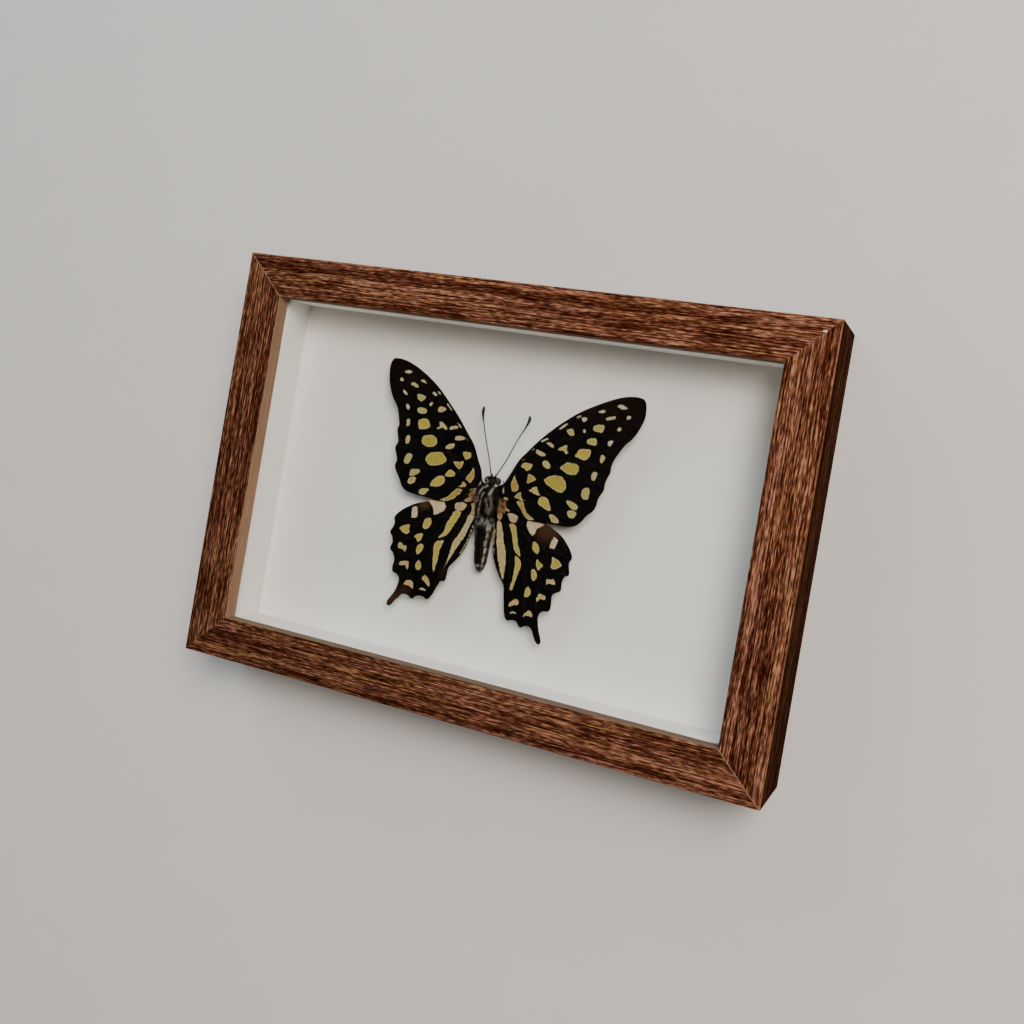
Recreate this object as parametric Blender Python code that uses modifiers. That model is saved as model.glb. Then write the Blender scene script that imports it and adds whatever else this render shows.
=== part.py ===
"""A swallowtail butterfly set in a deep box frame, lying on its back.

X runs along the long side of the frame, Y up the picture, and Z out of the
glass. The origin is the middle of the back rim, on which the frame rests.
"""
import math

import bmesh
import bpy
from mathutils import Matrix, Vector

MM = 0.001
GAP = 0.3 * MM                      # air between pieces that touch

# Frame: 5 x 7 inches outside, round a 4 x 6 inch window
FRAME_WIDTH = 178.0 * MM
FRAME_HEIGHT = 127.0 * MM
FRAME_DEPTH = 31.75 * MM
RAIL_FACE = 12.7 * MM
RAIL_WALL = 6.5 * MM
LIP_DEPTH = 5.75 * MM
OUTER_CHAMFER = 0.5 * MM
INNER_CHAMFER = 0.3 * MM

# The layers behind the lip, front to back
GLASS_THICKNESS = 2.0 * MM
CARD_FRONT = 10.65 * MM             # height of the card's face over the back rim
CARD_THICKNESS = 2.0 * MM
PANEL_THICKNESS = 2.5 * MM

# Steel tabs driven into the rails, which hold the back panel in
TAB_LENGTH = 14.0 * MM
TAB_WIDTH = 6.0 * MM
TAB_THICKNESS = 0.5 * MM
TAB_IN_RAIL = 3.5 * MM
TABS_ALONG = 0.27                   # place of a long rail's two tabs, as a share of its length

# Hanger riveted to the back panel
HANGER_LENGTH = 44.0 * MM
HANGER_WIDTH = 9.0 * MM
HANGER_THICKNESS = 0.8 * MM
HANGER_RISE = 1.5 * MM              # how far its middle stands off the panel
HANGER_FOOT = 8.0 * MM
HANGER_TEETH = 9
HANGER_Y = 38.0 * MM
TOOTH_DEPTH = 1.6 * MM
TOOTH_PITCH = 2.6 * MM
RIVET_SPACING = 36.0 * MM
RIVET_SHANK = 1.0 * MM
RIVET_HEAD = 2.2 * MM
RIVET_HEAD_HEIGHT = 0.7 * MM
RIVET_DEPTH = 1.6 * MM

# Butterfly: where it lies over the card, and how it is built
BODY_X = -2.6 * MM
THORAX_SIZE = Vector((3.3, 5.0, 3.2)) * MM
THORAX_CENTRE = Vector((-2.6, 0.3, 15.85)) * MM
HEAD_RADIUS = 1.6 * MM
HEAD_CENTRE = Vector((-2.45, 5.9, 15.3)) * MM
EYE_RADIUS = 1.15 * MM
EYE_SIDE = 1.65 * MM
PALP_LENGTH = 1.9 * MM
ABDOMEN_FRONT = Vector((-2.85, -2.0, 15.3)) * MM
ABDOMEN_TIP = Vector((-2.25, -21.3, 14.2)) * MM
ABDOMEN_WAIST = 2.75 * MM           # radius where the abdomen leaves the thorax
ABDOMEN_RADIUS = 2.4 * MM
ABDOMEN_SEGMENTS = 8
WING_THICKNESS = 0.25 * MM
FOREWING_ROOT = 16.45 * MM          # height of a wing's middle surface at the body
HINDWING_ROOT = 15.85 * MM
FOREWING_RISE = 0.9 * MM            # how far a wing has risen at the end of its span
HINDWING_RISE = 0.3 * MM
WING_CAMBER = 0.45 * MM
WING_SPAN = 38.0 * MM
ANTENNA_RADIUS = 0.13 * MM
CLUB_SWELL = 3.2                    # radius of the club, as a multiple of the shaft's
LEG_RADIUS = 0.3 * MM

# Wing edges in millimetres, from the root along the front edge and back
FOREWING_LEFT = [
    (-3.6, 1.6), (-3.8, 4.2), (-5.2, 5.4), (-6.1, 8.5), (-7.6, 11.4), (-9.5, 15.3),
    (-11.9, 18.3), (-15.0, 22.1), (-19.0, 26.3), (-22.9, 30.1), (-26.1, 32.6),
    (-30.1, 35.1), (-33.3, 36.6), (-36.0, 37.5),
    (-38.6, 37.8), (-40.1, 37.6), (-40.8, 36.7), (-41.1, 34.3), (-40.8, 31.8), (-40.0, 28.9),
    (-38.6, 25.9), (-36.7, 23.4), (-35.8, 21.4), (-35.2, 19.3), (-34.8, 17.7), (-35.1, 16.2),
    (-34.6, 14.3), (-34.2, 12.4), (-34.8, 10.6), (-34.1, 8.6), (-33.6, 6.9), (-33.9, 5.3),
    (-33.3, 3.7), (-31.7, 1.4), (-30.4, -0.7), (-29.0, -1.7), (-26.1, -2.3), (-21.9, -2.6),
    (-17.2, -2.8), (-14.9, -2.5), (-12.4, -1.1), (-9.5, 0.7), (-6.8, 1.1)]
FOREWING_RIGHT = [
    (-0.8, 1.6), (-0.6, 4.4), (1.3, 5.6), (2.6, 7.9), (3.8, 10.7), (5.1, 13.4), (7.1, 16.1),
    (10.1, 20.0), (13.4, 23.5),
    (16.9, 26.8), (20.5, 29.7), (25.0, 32.5), (29.4, 34.8), (32.9, 36.2), (35.5, 36.7),
    (37.6, 36.7), (38.8, 36.2), (39.5, 34.8), (39.8, 32.9), (39.6, 30.4), (38.6, 27.5),
    (37.2, 24.9), (35.4, 22.7), (34.2, 20.5), (33.1, 18.2), (32.6, 16.4), (32.6, 14.6),
    (32.0, 12.8), (31.6, 11.1), (31.6, 9.3), (30.8, 7.5), (30.3, 6.0), (30.2, 4.4),
    (29.5, 2.8), (27.9, 1.2), (26.5, -1.0), (24.9, -2.4), (22.2, -3.0), (18.6, -3.2),
    (15.1, -3.3), (11.6, -3.3), (10.1, -2.8), (7.9, -0.4), (5.6, 1.3), (2.6, 1.2)]
HINDWING_LEFT = [
    (-4.0, -3.0), (-3.8, 0.6), (-5.9, 1.2), (-9.4, 0.6), (-13.3, -0.9), (-18.3, -2.2),
    (-21.7, -3.7), (-25.5, -5.2),
    (-27.7, -6.5), (-29.6, -7.9), (-31.0, -9.4), (-31.6, -10.7), (-31.2, -11.8),
    (-31.4, -13.2), (-32.2, -15.2), (-31.4, -16.3), (-30.9, -17.8), (-31.3, -20.3),
    (-30.1, -21.4), (-29.4, -23.1), (-29.5, -26.1), (-29.1, -26.9), (-27.8, -27.3),
    (-26.7, -28.6), (-26.8, -30.3), (-27.3, -32.3), (-28.6, -34.7), (-29.5, -36.6),
    (-28.9, -37.4), (-28.0, -37.0), (-27.2, -35.8), (-25.8, -34.1), (-24.9, -33.0),
    (-22.8, -33.0), (-21.5, -33.7), (-20.4, -32.7), (-17.8, -32.3), (-16.7, -32.8),
    (-15.3, -31.3), (-14.5, -29.5), (-13.7, -27.5), (-13.3, -26.6), (-12.0, -26.2),
    (-11.7, -24.7), (-11.4, -21.9), (-10.3, -20.3), (-8.4, -17.5), (-7.0, -14.1),
    (-6.1, -10.6), (-5.6, -8.0), (-5.5, -5.4)]
HINDWING_RIGHT = [
    (-1.0, -3.0), (-0.8, 0.6), (1.8, 1.2), (5.0, 0.6), (9.8, -1.2), (14.0, -2.6),
    (16.6, -3.6), (19.7, -5.0),
    (21.9, -6.4), (23.5, -8.1), (24.7, -9.7), (25.5, -11.7), (24.9, -13.1), (25.2, -15.0),
    (25.4, -16.6), (24.4, -17.3), (23.8, -18.8), (23.9, -20.6), (23.8, -21.6),
    (22.4, -22.5), (21.6, -23.4), (21.6, -24.5), (21.7, -26.9), (21.3, -28.0),
    (19.3, -28.6), (18.6, -30.0), (18.8, -31.9), (19.4, -34.1), (20.2, -36.1),
    (20.5, -37.5), (19.9, -38.1), (19.1, -37.6), (18.0, -36.0), (17.2, -34.4),
    (16.3, -33.7), (14.7, -33.9), (13.9, -34.5), (13.1, -34.1), (12.2, -33.1),
    (10.6, -33.0), (9.6, -33.4), (8.9, -33.1), (8.1, -31.6), (7.5, -28.8), (7.0, -26.2),
    (6.6, -23.8), (4.7, -21.2), (3.0, -18.4), (1.6, -15.3), (1.0, -11.9), (0.7, -8.1),
    (0.4, -5.0)]

# Antennae: points from the head to the club's tip
ANTENNA_LEFT = [(-2.95, 7.5, 16.0), (-4.4, 11.8, 16.0), (-6.1, 17.1, 16.6),
                (-7.9, 22.9, 16.9), (-8.4, 24.8, 17.0), (-8.5, 26.2, 17.0), (-8.5, 27.4, 17.0)]
ANTENNA_RIGHT = [(-1.75, 7.5, 16.0), (1.1, 13.2, 16.1), (3.3, 18.6, 16.7),
                 (5.1, 22.5, 16.9), (5.9, 24.3, 17.0), (6.2, 25.7, 17.0), (6.1, 26.8, 17.0)]

# Legs folded under the thorax: where each starts, how far it reaches, and which way
LEGS = {"front": (3.0, 3.4, 0.8), "middle": (0.2, 2.2, 0.9), "hind": (-1.6, -4.2, 0.8)}


def start_clean():
    """Remove whatever the file holds, and make the two collections."""
    for item in list(bpy.data.objects):
        bpy.data.objects.remove(item, do_unlink=True)
    made = []
    for name in ("framed_butterfly_specimen", "cutters"):
        group = bpy.data.collections.new(name)
        bpy.context.scene.collection.children.link(group)
        made.append(group)
    return made


PIECES, CUTTERS = start_clean()


def material(name, colour, roughness, metallic=0.0, transmission=0.0):
    """A Principled material, made once for each name."""
    made = bpy.data.materials.get(name)
    if made:
        return made
    made = bpy.data.materials.new(name)
    made.use_nodes = True
    shader = made.node_tree.nodes["Principled BSDF"]
    shader.inputs["Base Color"].default_value = (*colour, 1.0)
    shader.inputs["Roughness"].default_value = roughness
    shader.inputs["Metallic"].default_value = metallic
    shader.inputs["Transmission Weight"].default_value = transmission
    return made


WOOD = material("rail_foil", (0.16, 0.06, 0.035), 0.5)
GLASS = material("glass", (0.95, 0.97, 0.96), 0.03, transmission=1.0)
CARD = material("white_card", (0.87, 0.86, 0.83), 0.85)
FOAM = material("white_spacer", (0.86, 0.87, 0.86), 0.7)
BOARD = material("hardboard", (0.22, 0.13, 0.07), 0.7)
STEEL = material("zinc_plated_steel", (0.6, 0.6, 0.58), 0.35, metallic=1.0)
WING = material("wing_scales", (0.03, 0.022, 0.018), 0.6)
CHITIN = material("body_hair", (0.06, 0.05, 0.045), 0.7)


def keep(item, finish):
    """Put a finished piece in the part's collection with its material."""
    for group in list(item.users_collection):
        group.objects.unlink(item)
    PIECES.objects.link(item)
    item.data.materials.clear()
    item.data.materials.append(finish)
    return item


def as_cutter(item):
    """Put an object among the cutters, where it only shapes others."""
    for group in list(item.users_collection):
        group.objects.unlink(item)
    CUTTERS.objects.link(item)
    item.hide_render = True
    item.display_type = "WIRE"
    return item


def shape_with(item, other, operation):
    """Add a Boolean modifier to a piece."""
    change = item.modifiers.new(operation.lower() + "_" + other.name, "BOOLEAN")
    change.operation = operation
    change.object = other
    return change


def box(name, low, high):
    """A box between two corners, from a cube primitive."""
    low, high = Vector(low), Vector(high)
    bpy.ops.mesh.primitive_cube_add(size=1.0, location=(low + high) / 2)
    made = bpy.context.object
    made.name = name
    made.scale = high - low
    bpy.ops.object.transform_apply(location=False, rotation=False, scale=True)
    return made


def meshed(curve_object):
    """Turn a curve into a welded mesh that stands in the same place."""
    bpy.context.view_layer.update()
    seen = curve_object.evaluated_get(bpy.context.evaluated_depsgraph_get())
    mesh = bpy.data.meshes.new_from_object(seen)
    shape = bmesh.new()
    shape.from_mesh(mesh)
    bmesh.ops.remove_doubles(shape, verts=shape.verts, dist=0.001 * MM)
    bmesh.ops.recalc_face_normals(shape, faces=shape.faces)
    shape.to_mesh(mesh)
    shape.free()
    made = bpy.data.objects.new(curve_object.name + "_mesh", mesh)
    bpy.context.scene.collection.objects.link(made)
    made.matrix_world = curve_object.matrix_world.copy()
    wanted = curve_object.name
    bpy.data.objects.remove(curve_object, do_unlink=True)
    made.name = wanted
    return made


def plate(name, outline, thickness):
    """A flat outline with thickness, lying in XY and centred on Z = 0."""
    flat = bpy.data.curves.new(name, "CURVE")
    flat.dimensions = "2D"
    flat.fill_mode = "BOTH"
    flat.extrude = thickness / 2
    edge = flat.splines.new("POLY")
    edge.points.add(len(outline) - 1)
    for point, (x, y) in zip(edge.points, outline):
        point.co = (x, y, 0.0, 1.0)
    edge.use_cyclic_u = True
    item = bpy.data.objects.new(name, flat)
    bpy.context.scene.collection.objects.link(item)
    return meshed(item)


def wire(name, points, radius, swell=None):
    """A round wire through points; swell gives each point's share of the radius."""
    line = bpy.data.curves.new(name, "CURVE")
    line.dimensions = "3D"
    line.bevel_depth = radius
    line.bevel_resolution = 1
    line.use_fill_caps = True
    path = line.splines.new("POLY")
    path.points.add(len(points) - 1)
    for index, point in enumerate(path.points):
        point.co = (*points[index], 1.0)
        point.radius = swell[index] if swell else 1.0
    item = bpy.data.objects.new(name, line)
    bpy.context.scene.collection.objects.link(item)
    return meshed(item)


def turned(name, profile, steps):
    """A profile of radius and height turned about Z, poles closed."""
    mesh = bpy.data.meshes.new(name)
    points = [(radius, 0.0, height) for radius, height in profile]
    mesh.from_pydata(points, [(i, i + 1) for i in range(len(points) - 1)], [])
    item = bpy.data.objects.new(name, mesh)
    bpy.context.scene.collection.objects.link(item)
    spin = item.modifiers.new("turn", "SCREW")
    spin.steps = steps
    spin.render_steps = steps
    spin.use_merge_vertices = True
    spin.merge_threshold = 0.0001 * MM
    return item


def ellipsoid(name, centre, radii, segments, rings):
    """A ball stretched to three radii."""
    bpy.ops.mesh.primitive_uv_sphere_add(
        segments=segments, ring_count=rings, radius=1.0, location=centre)
    made = bpy.context.object
    made.name = name
    made.scale = radii
    bpy.ops.object.transform_apply(location=False, rotation=False, scale=True)
    return made


RAILS = {
    "bottom": (Vector((0, 1, 0)), FRAME_WIDTH, FRAME_HEIGHT),
    "top": (Vector((0, -1, 0)), FRAME_WIDTH, FRAME_HEIGHT),
    "left": (Vector((1, 0, 0)), FRAME_HEIGHT, FRAME_WIDTH),
    "right": (Vector((-1, 0, 0)), FRAME_HEIGHT, FRAME_WIDTH),
}
PANEL_BACK = CARD_FRONT - CARD_THICKNESS - GAP - PANEL_THICKNESS
TAB_TOP = PANEL_BACK - GAP


def rail_profile():
    """Half of an H: a wall, and the lip that holds the glass from the front."""
    front = FRAME_DEPTH
    back_of_lip = FRAME_DEPTH - LIP_DEPTH
    return [
        (0.0, 0.0), (RAIL_WALL, 0.0), (RAIL_WALL, back_of_lip), (RAIL_FACE, back_of_lip),
        (RAIL_FACE, front - INNER_CHAMFER), (RAIL_FACE - INNER_CHAMFER, front),
        (OUTER_CHAMFER, front), (0.0, front - OUTER_CHAMFER)]


def tab_places(side):
    """Where the tabs of one rail stand along it."""
    length = RAILS[side][1]
    if side in ("top", "bottom"):
        return [-TABS_ALONG * length, TABS_ALONG * length]
    return [0.0]


def tab_box(name, side, place, spare):
    """The room of one tab, with spare room all round it for its slot."""
    inward, _, across = RAILS[side]
    along = inward.cross(Vector((0, 0, 1)))
    wall = -inward * (across / 2 - RAIL_WALL)
    start = wall - inward * (TAB_IN_RAIL + spare) - along * (TAB_WIDTH / 2 + spare)
    reach = TAB_LENGTH + (2 * spare if spare else 0.0)
    end = start + inward * reach + along * (TAB_WIDTH + 2 * spare)
    middle = along * place
    low = [min(a, b) for a, b in zip(start + middle, end + middle)]
    high = [max(a, b) for a, b in zip(start + middle, end + middle)]
    low[2] = TAB_TOP - TAB_THICKNESS - spare
    high[2] = TAB_TOP + spare
    return box(name, low, high)


def make_rail(side):
    """One mitred rail, with slots in its wall for the tabs."""
    inward, length, across = RAILS[side]
    up = Vector((0, 0, 1))
    along = inward.cross(up)
    rail = plate("rail_" + side, rail_profile(), length)
    turn = Matrix((inward, up, along)).transposed().to_4x4()
    place = Matrix.Translation(-inward * across / 2)
    rail.data.transform(place @ turn)
    shape = bmesh.new()
    shape.from_mesh(rail.data)
    for end in (-1, 1):
        corner = -inward * across / 2 + along * (end * length / 2)
        normal = (along * end + inward).normalized()
        everything = shape.verts[:] + shape.edges[:] + shape.faces[:]
        cut = bmesh.ops.bisect_plane(
            shape, geom=everything, plane_co=corner - normal * GAP / 2, plane_no=normal,
            clear_outer=True)
        rim = [e for e in cut["geom_cut"] if isinstance(e, bmesh.types.BMEdge)]
        bmesh.ops.contextual_create(shape, geom=rim)
    bmesh.ops.recalc_face_normals(shape, faces=shape.faces)
    shape.to_mesh(rail.data)
    shape.free()
    for index, place_along in enumerate(tab_places(side)):
        slot = as_cutter(tab_box("slot_%s_%d" % (side, index + 1), side, place_along, GAP))
        shape_with(rail, slot, "DIFFERENCE")
    return keep(rail, WOOD)


def make_layers():
    """Glass, spacers, card and back panel, from the lip to the back."""
    half_x = FRAME_WIDTH / 2 - RAIL_WALL - GAP
    half_y = FRAME_HEIGHT / 2 - RAIL_WALL - GAP
    glass_front = FRAME_DEPTH - LIP_DEPTH - GAP
    glass_back = glass_front - GLASS_THICKNESS
    card_back = CARD_FRONT - CARD_THICKNESS
    window_x = FRAME_WIDTH / 2 - RAIL_FACE
    window_y = FRAME_HEIGHT / 2 - RAIL_FACE
    keep(box("glass", (-half_x, -half_y, glass_back), (half_x, half_y, glass_front)), GLASS)
    keep(box("backing_card", (-half_x, -half_y, card_back), (half_x, half_y, CARD_FRONT)), CARD)
    low, high = CARD_FRONT + GAP, glass_back - GAP
    keep(box("spacer_top", (-half_x, window_y, low), (half_x, half_y, high)), FOAM)
    keep(box("spacer_bottom", (-half_x, -half_y, low), (half_x, -window_y, high)), FOAM)
    side_y = window_y - GAP
    keep(box("spacer_left", (-half_x, -side_y, low), (-window_x, side_y, high)), FOAM)
    keep(box("spacer_right", (window_x, -side_y, low), (half_x, side_y, high)), FOAM)
    panel = box("back_panel", (-half_x, -half_y, PANEL_BACK),
                (half_x, half_y, card_back - GAP))
    for name, x in rivet_places():
        bpy.ops.mesh.primitive_cylinder_add(
            vertices=16, radius=RIVET_SHANK + GAP, depth=2 * (RIVET_DEPTH + GAP),
            location=(x, HANGER_Y, PANEL_BACK))
        hole = as_cutter(bpy.context.object)
        hole.name = "panel_hole_" + name
        shape_with(panel, hole, "DIFFERENCE")
    return keep(panel, BOARD)


def rivet_places():
    """Name and X of the hanger's two rivets."""
    return [("left", -RIVET_SPACING / 2), ("right", RIVET_SPACING / 2)]


def make_tabs():
    """The steel tabs that hold the layers in."""
    for side in RAILS:
        places = tab_places(side)
        for index, place_along in enumerate(places):
            name = "tab_" + side + ("_%d" % (index + 1) if len(places) > 1 else "")
            keep(tab_box(name, side, place_along, 0.0), STEEL)


def hanger_section():
    """The hanger's strip from the side: two feet and a raised middle."""
    half = HANGER_LENGTH / 2
    foot = half - HANGER_FOOT
    raised = foot - HANGER_RISE
    ease = HANGER_THICKNESS * 0.5
    low = -HANGER_RISE - HANGER_THICKNESS
    return [
        (-half, 0.0), (-foot, 0.0), (-raised, -HANGER_RISE), (raised, -HANGER_RISE),
        (foot, 0.0), (half, 0.0), (half, -HANGER_THICKNESS), (foot + ease, -HANGER_THICKNESS),
        (raised + ease, low), (-raised - ease, low), (-foot - ease, -HANGER_THICKNESS),
        (-half, -HANGER_THICKNESS)]


def tooth_row():
    """The notches of the hanger's lower edge, as one outline."""
    half = HANGER_TEETH * TOOTH_PITCH / 2
    outline = [(half, -TOOTH_DEPTH), (-half, -TOOTH_DEPTH)]
    for tooth in range(HANGER_TEETH):
        left = -half + tooth * TOOTH_PITCH
        outline.append((left + 0.02 * TOOTH_PITCH, 0.0))
        outline.append((left + TOOTH_PITCH / 2, TOOTH_DEPTH))
        outline.append((left + 0.98 * TOOTH_PITCH, 0.0))
    return outline


def make_hanger():
    """A toothed hanger and its two rivets, on the back panel."""
    top = PANEL_BACK - GAP
    lower_edge = HANGER_Y - HANGER_WIDTH / 2
    hanger = plate("hanger", hanger_section(), HANGER_WIDTH)
    upright = Matrix.Rotation(math.pi / 2, 4, "X")
    hanger.data.transform(Matrix.Translation((0.0, HANGER_Y, top)) @ upright)
    teeth = as_cutter(plate("hanger_teeth", tooth_row(), 12 * HANGER_THICKNESS))
    teeth.location = (0.0, lower_edge, top)
    shape_with(hanger, teeth, "DIFFERENCE")
    for name, x in rivet_places():
        bpy.ops.mesh.primitive_cylinder_add(
            vertices=16, radius=RIVET_SHANK + GAP, depth=4 * HANGER_THICKNESS,
            location=(x, HANGER_Y, top))
        hole = as_cutter(bpy.context.object)
        hole.name = "hanger_hole_" + name
        shape_with(hanger, hole, "DIFFERENCE")
        head = top - HANGER_THICKNESS - GAP
        profile = [
            (0.0, PANEL_BACK + RIVET_DEPTH), (RIVET_SHANK, PANEL_BACK + RIVET_DEPTH),
            (RIVET_SHANK, head), (RIVET_HEAD, head),
            (RIVET_HEAD * 0.8, head - RIVET_HEAD_HEIGHT * 0.7),
            (0.0, head - RIVET_HEAD_HEIGHT)]
        rivet = turned("hanger_rivet_" + name, profile, 16)
        rivet.location = (x, HANGER_Y, 0.0)
        keep(rivet, STEEL)
    return keep(hanger, STEEL)


def abdomen_profile(spare=0.0):
    """Radius along the abdomen: a row of rounded segments, tapering at the tip."""
    length = (ABDOMEN_FRONT - ABDOMEN_TIP).length
    points = [(0.0, length + spare)]
    steps = 3
    count = ABDOMEN_SEGMENTS * steps
    for index in range(count + 1):
        share = index / count
        wide = ABDOMEN_RADIUS + (ABDOMEN_WAIST - ABDOMEN_RADIUS) * max(0.0, 1 - 2.5 * share)
        taper = (1 - share ** 6) ** 0.5 * 0.8 + 0.2
        ring = 0.03 * math.cos(2 * math.pi * (index % steps) / steps)
        points.append((wide * (taper - ring) + spare, length * (1 - share * 0.985)))
    points.append((0.0, -spare))
    return points


def abdomen_solid(name, spare=0.0):
    """The abdomen turned about its own axis, or the same with room round it."""
    made = turned(name, abdomen_profile(spare), 20)
    made.location = ABDOMEN_TIP
    made.rotation_euler = (ABDOMEN_FRONT - ABDOMEN_TIP).to_track_quat("Z", "Y").to_euler()
    return made


def make_body():
    """Head, eyes, palps, thorax and abdomen, grown together."""
    body = ellipsoid("body", THORAX_CENTRE, THORAX_SIZE, 28, 16)
    grown = [abdomen_solid("abdomen")]
    head_size = Vector((1.05, 0.85, 1.0)) * HEAD_RADIUS
    grown.append(ellipsoid("head", HEAD_CENTRE, head_size, 20, 12))
    for name, side in (("left", -1), ("right", 1)):
        place = HEAD_CENTRE + Vector((side * EYE_SIDE, 0.1 * MM, 0.1 * MM))
        size = Vector((0.8, 1.0, 1.15)) * EYE_RADIUS
        grown.append(ellipsoid("eye_" + name, place, size, 16, 10))
        bpy.ops.mesh.primitive_cone_add(
            vertices=10, radius1=0.45 * MM, radius2=0.12 * MM, depth=PALP_LENGTH,
            location=HEAD_CENTRE + Vector((side * 0.5 * MM, HEAD_RADIUS * 0.9, -0.1 * MM)),
            rotation=(-math.pi / 2, 0.0, side * -0.15))
        bpy.context.object.name = "palp_" + name
        grown.append(bpy.context.object)
    for piece in grown:
        shape_with(body, as_cutter(piece), "UNION")
    for face in body.data.polygons:
        face.use_smooth = True
    return keep(body, CHITIN)


def wing_height(x, root, rise):
    """Height of a wing's middle surface at a distance from the body."""
    share = min(abs(x - BODY_X) / WING_SPAN, 1.1)
    return root + rise * share + WING_CAMBER * math.sin(math.pi * share)


def make_wing(name, outline, root, rise):
    """A thin cambered sheet cut to the wing's edge."""
    points = [(x * MM, y * MM) for x, y in outline]
    cutter = as_cutter(plate(name + "_edge", points, 20 * MM))
    cutter.location.z = root
    low_x, high_x = min(p[0] for p in points), max(p[0] for p in points)
    low_y, high_y = min(p[1] for p in points), max(p[1] for p in points)
    margin = 1.0 * MM
    bpy.ops.mesh.primitive_grid_add(x_subdivisions=8, y_subdivisions=2, size=1.0)
    wing = bpy.context.object
    wing.name = name
    for vertex in wing.data.vertices:
        x = low_x - margin + (vertex.co.x + 0.5) * (high_x - low_x + 2 * margin)
        y = low_y - margin + (vertex.co.y + 0.5) * (high_y - low_y + 2 * margin)
        vertex.co = (x, y, wing_height(x, root, rise))
    thick = wing.modifiers.new("thickness", "SOLIDIFY")
    thick.thickness = WING_THICKNESS
    thick.offset = 0.0
    shape_with(wing, cutter, "INTERSECT")
    for seat in ("thorax_seat", "abdomen_seat"):
        shape_with(wing, bpy.data.objects[seat], "DIFFERENCE")
    return keep(wing, WING)


def make_antenna(name, points):
    """A thin stalk that swells into a club."""
    swell = [1.0] * (len(points) - 3) + [CLUB_SWELL * 0.7, CLUB_SWELL, CLUB_SWELL * 0.45]
    path = [Vector(point) * MM for point in points]
    return keep(wire(name, path, ANTENNA_RADIUS, swell), CHITIN)


def make_leg(name, side, start, reach, bend):
    """A jointed leg folded between the thorax and the card."""
    tip = CARD_FRONT + LEG_RADIUS + GAP
    points = [
        Vector((BODY_X + side * 2.5 * MM, start * MM, tip + 1.5 * MM)),
        Vector((BODY_X + side * (2.4 + bend) * MM, (start + reach * 0.3) * MM, tip + 1.2 * MM)),
        Vector((BODY_X + side * 2.7 * MM, (start + reach * 0.65) * MM, tip + 0.1 * MM)),
        Vector((BODY_X + side * 1.6 * MM, (start + reach) * MM, tip))]
    return keep(wire(name, points, LEG_RADIUS, [1.0, 1.0, 0.7, 0.5]), CHITIN)


def make_all():
    """The frame first, then what is sealed in it."""
    for side in RAILS:
        make_rail(side)
    make_layers()
    make_tabs()
    make_hanger()
    make_body()
    clear = Vector((GAP, GAP, GAP))
    as_cutter(ellipsoid("thorax_seat", THORAX_CENTRE, THORAX_SIZE + clear, 28, 16))
    as_cutter(abdomen_solid("abdomen_seat", GAP))
    make_wing("forewing_left", FOREWING_LEFT, FOREWING_ROOT, FOREWING_RISE)
    make_wing("forewing_right", FOREWING_RIGHT, FOREWING_ROOT, FOREWING_RISE)
    make_wing("hindwing_left", HINDWING_LEFT, HINDWING_ROOT, HINDWING_RISE)
    make_wing("hindwing_right", HINDWING_RIGHT, HINDWING_ROOT, HINDWING_RISE)
    make_antenna("antenna_left", ANTENNA_LEFT)
    make_antenna("antenna_right", ANTENNA_RIGHT)
    for pair, (start, reach, bend) in LEGS.items():
        make_leg("leg_%s_left" % pair, -1, start, reach, bend)
        make_leg("leg_%s_right" % pair, 1, start, reach, bend)
    bpy.context.view_layer.update()


make_all()
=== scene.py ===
import math

import bpy
import numpy as np
from mathutils import Matrix, Vector


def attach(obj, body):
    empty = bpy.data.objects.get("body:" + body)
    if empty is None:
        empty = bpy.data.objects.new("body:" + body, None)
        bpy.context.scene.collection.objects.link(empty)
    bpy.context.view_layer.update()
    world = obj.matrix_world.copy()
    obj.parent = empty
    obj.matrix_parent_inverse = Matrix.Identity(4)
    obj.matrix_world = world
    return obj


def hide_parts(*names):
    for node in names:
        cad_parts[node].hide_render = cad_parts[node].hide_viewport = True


# A tailed swallowtail butterfly in a deep box frame that lies on its back.
# X runs along the frame, Y up the picture, Z out of the glass.
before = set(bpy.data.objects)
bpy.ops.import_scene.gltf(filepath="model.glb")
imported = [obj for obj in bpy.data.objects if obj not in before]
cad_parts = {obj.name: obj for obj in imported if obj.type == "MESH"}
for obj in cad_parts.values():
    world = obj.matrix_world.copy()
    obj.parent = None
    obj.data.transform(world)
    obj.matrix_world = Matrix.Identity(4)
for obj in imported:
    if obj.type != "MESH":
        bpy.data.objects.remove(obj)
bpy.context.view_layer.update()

mm = 0.001
bodyX = -2.6

print("frame loaded")


# Small helpers for modelling by hand

def clearSelection():
    if bpy.context.object and bpy.context.object.mode != "OBJECT":
        bpy.ops.object.mode_set(mode="OBJECT")
    bpy.ops.object.select_all(action="DESELECT")


def pick(item):
    clearSelection()
    item.select_set(True)
    bpy.context.view_layer.objects.active = item
    return item


def applyPlace(item):
    pick(item)
    bpy.ops.object.transform_apply(location=True, rotation=True, scale=True)
    return item


def addBox(name, low, high):
    clearSelection()
    middle = [(a + b) / 2 * mm for a, b in zip(low, high)]
    bpy.ops.mesh.primitive_cube_add(size=1.0, location=middle)
    item = bpy.context.object
    item.name = name
    item.scale = [(b - a) * mm for a, b in zip(low, high)]
    return applyPlace(item)


def addBall(name, centre, radii, segments=32, rings=20):
    clearSelection()
    bpy.ops.mesh.primitive_uv_sphere_add(
        segments=segments, ring_count=rings, radius=mm,
        location=[value * mm for value in centre])
    item = bpy.context.object
    item.name = name
    item.scale = radii
    return applyPlace(item)


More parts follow.
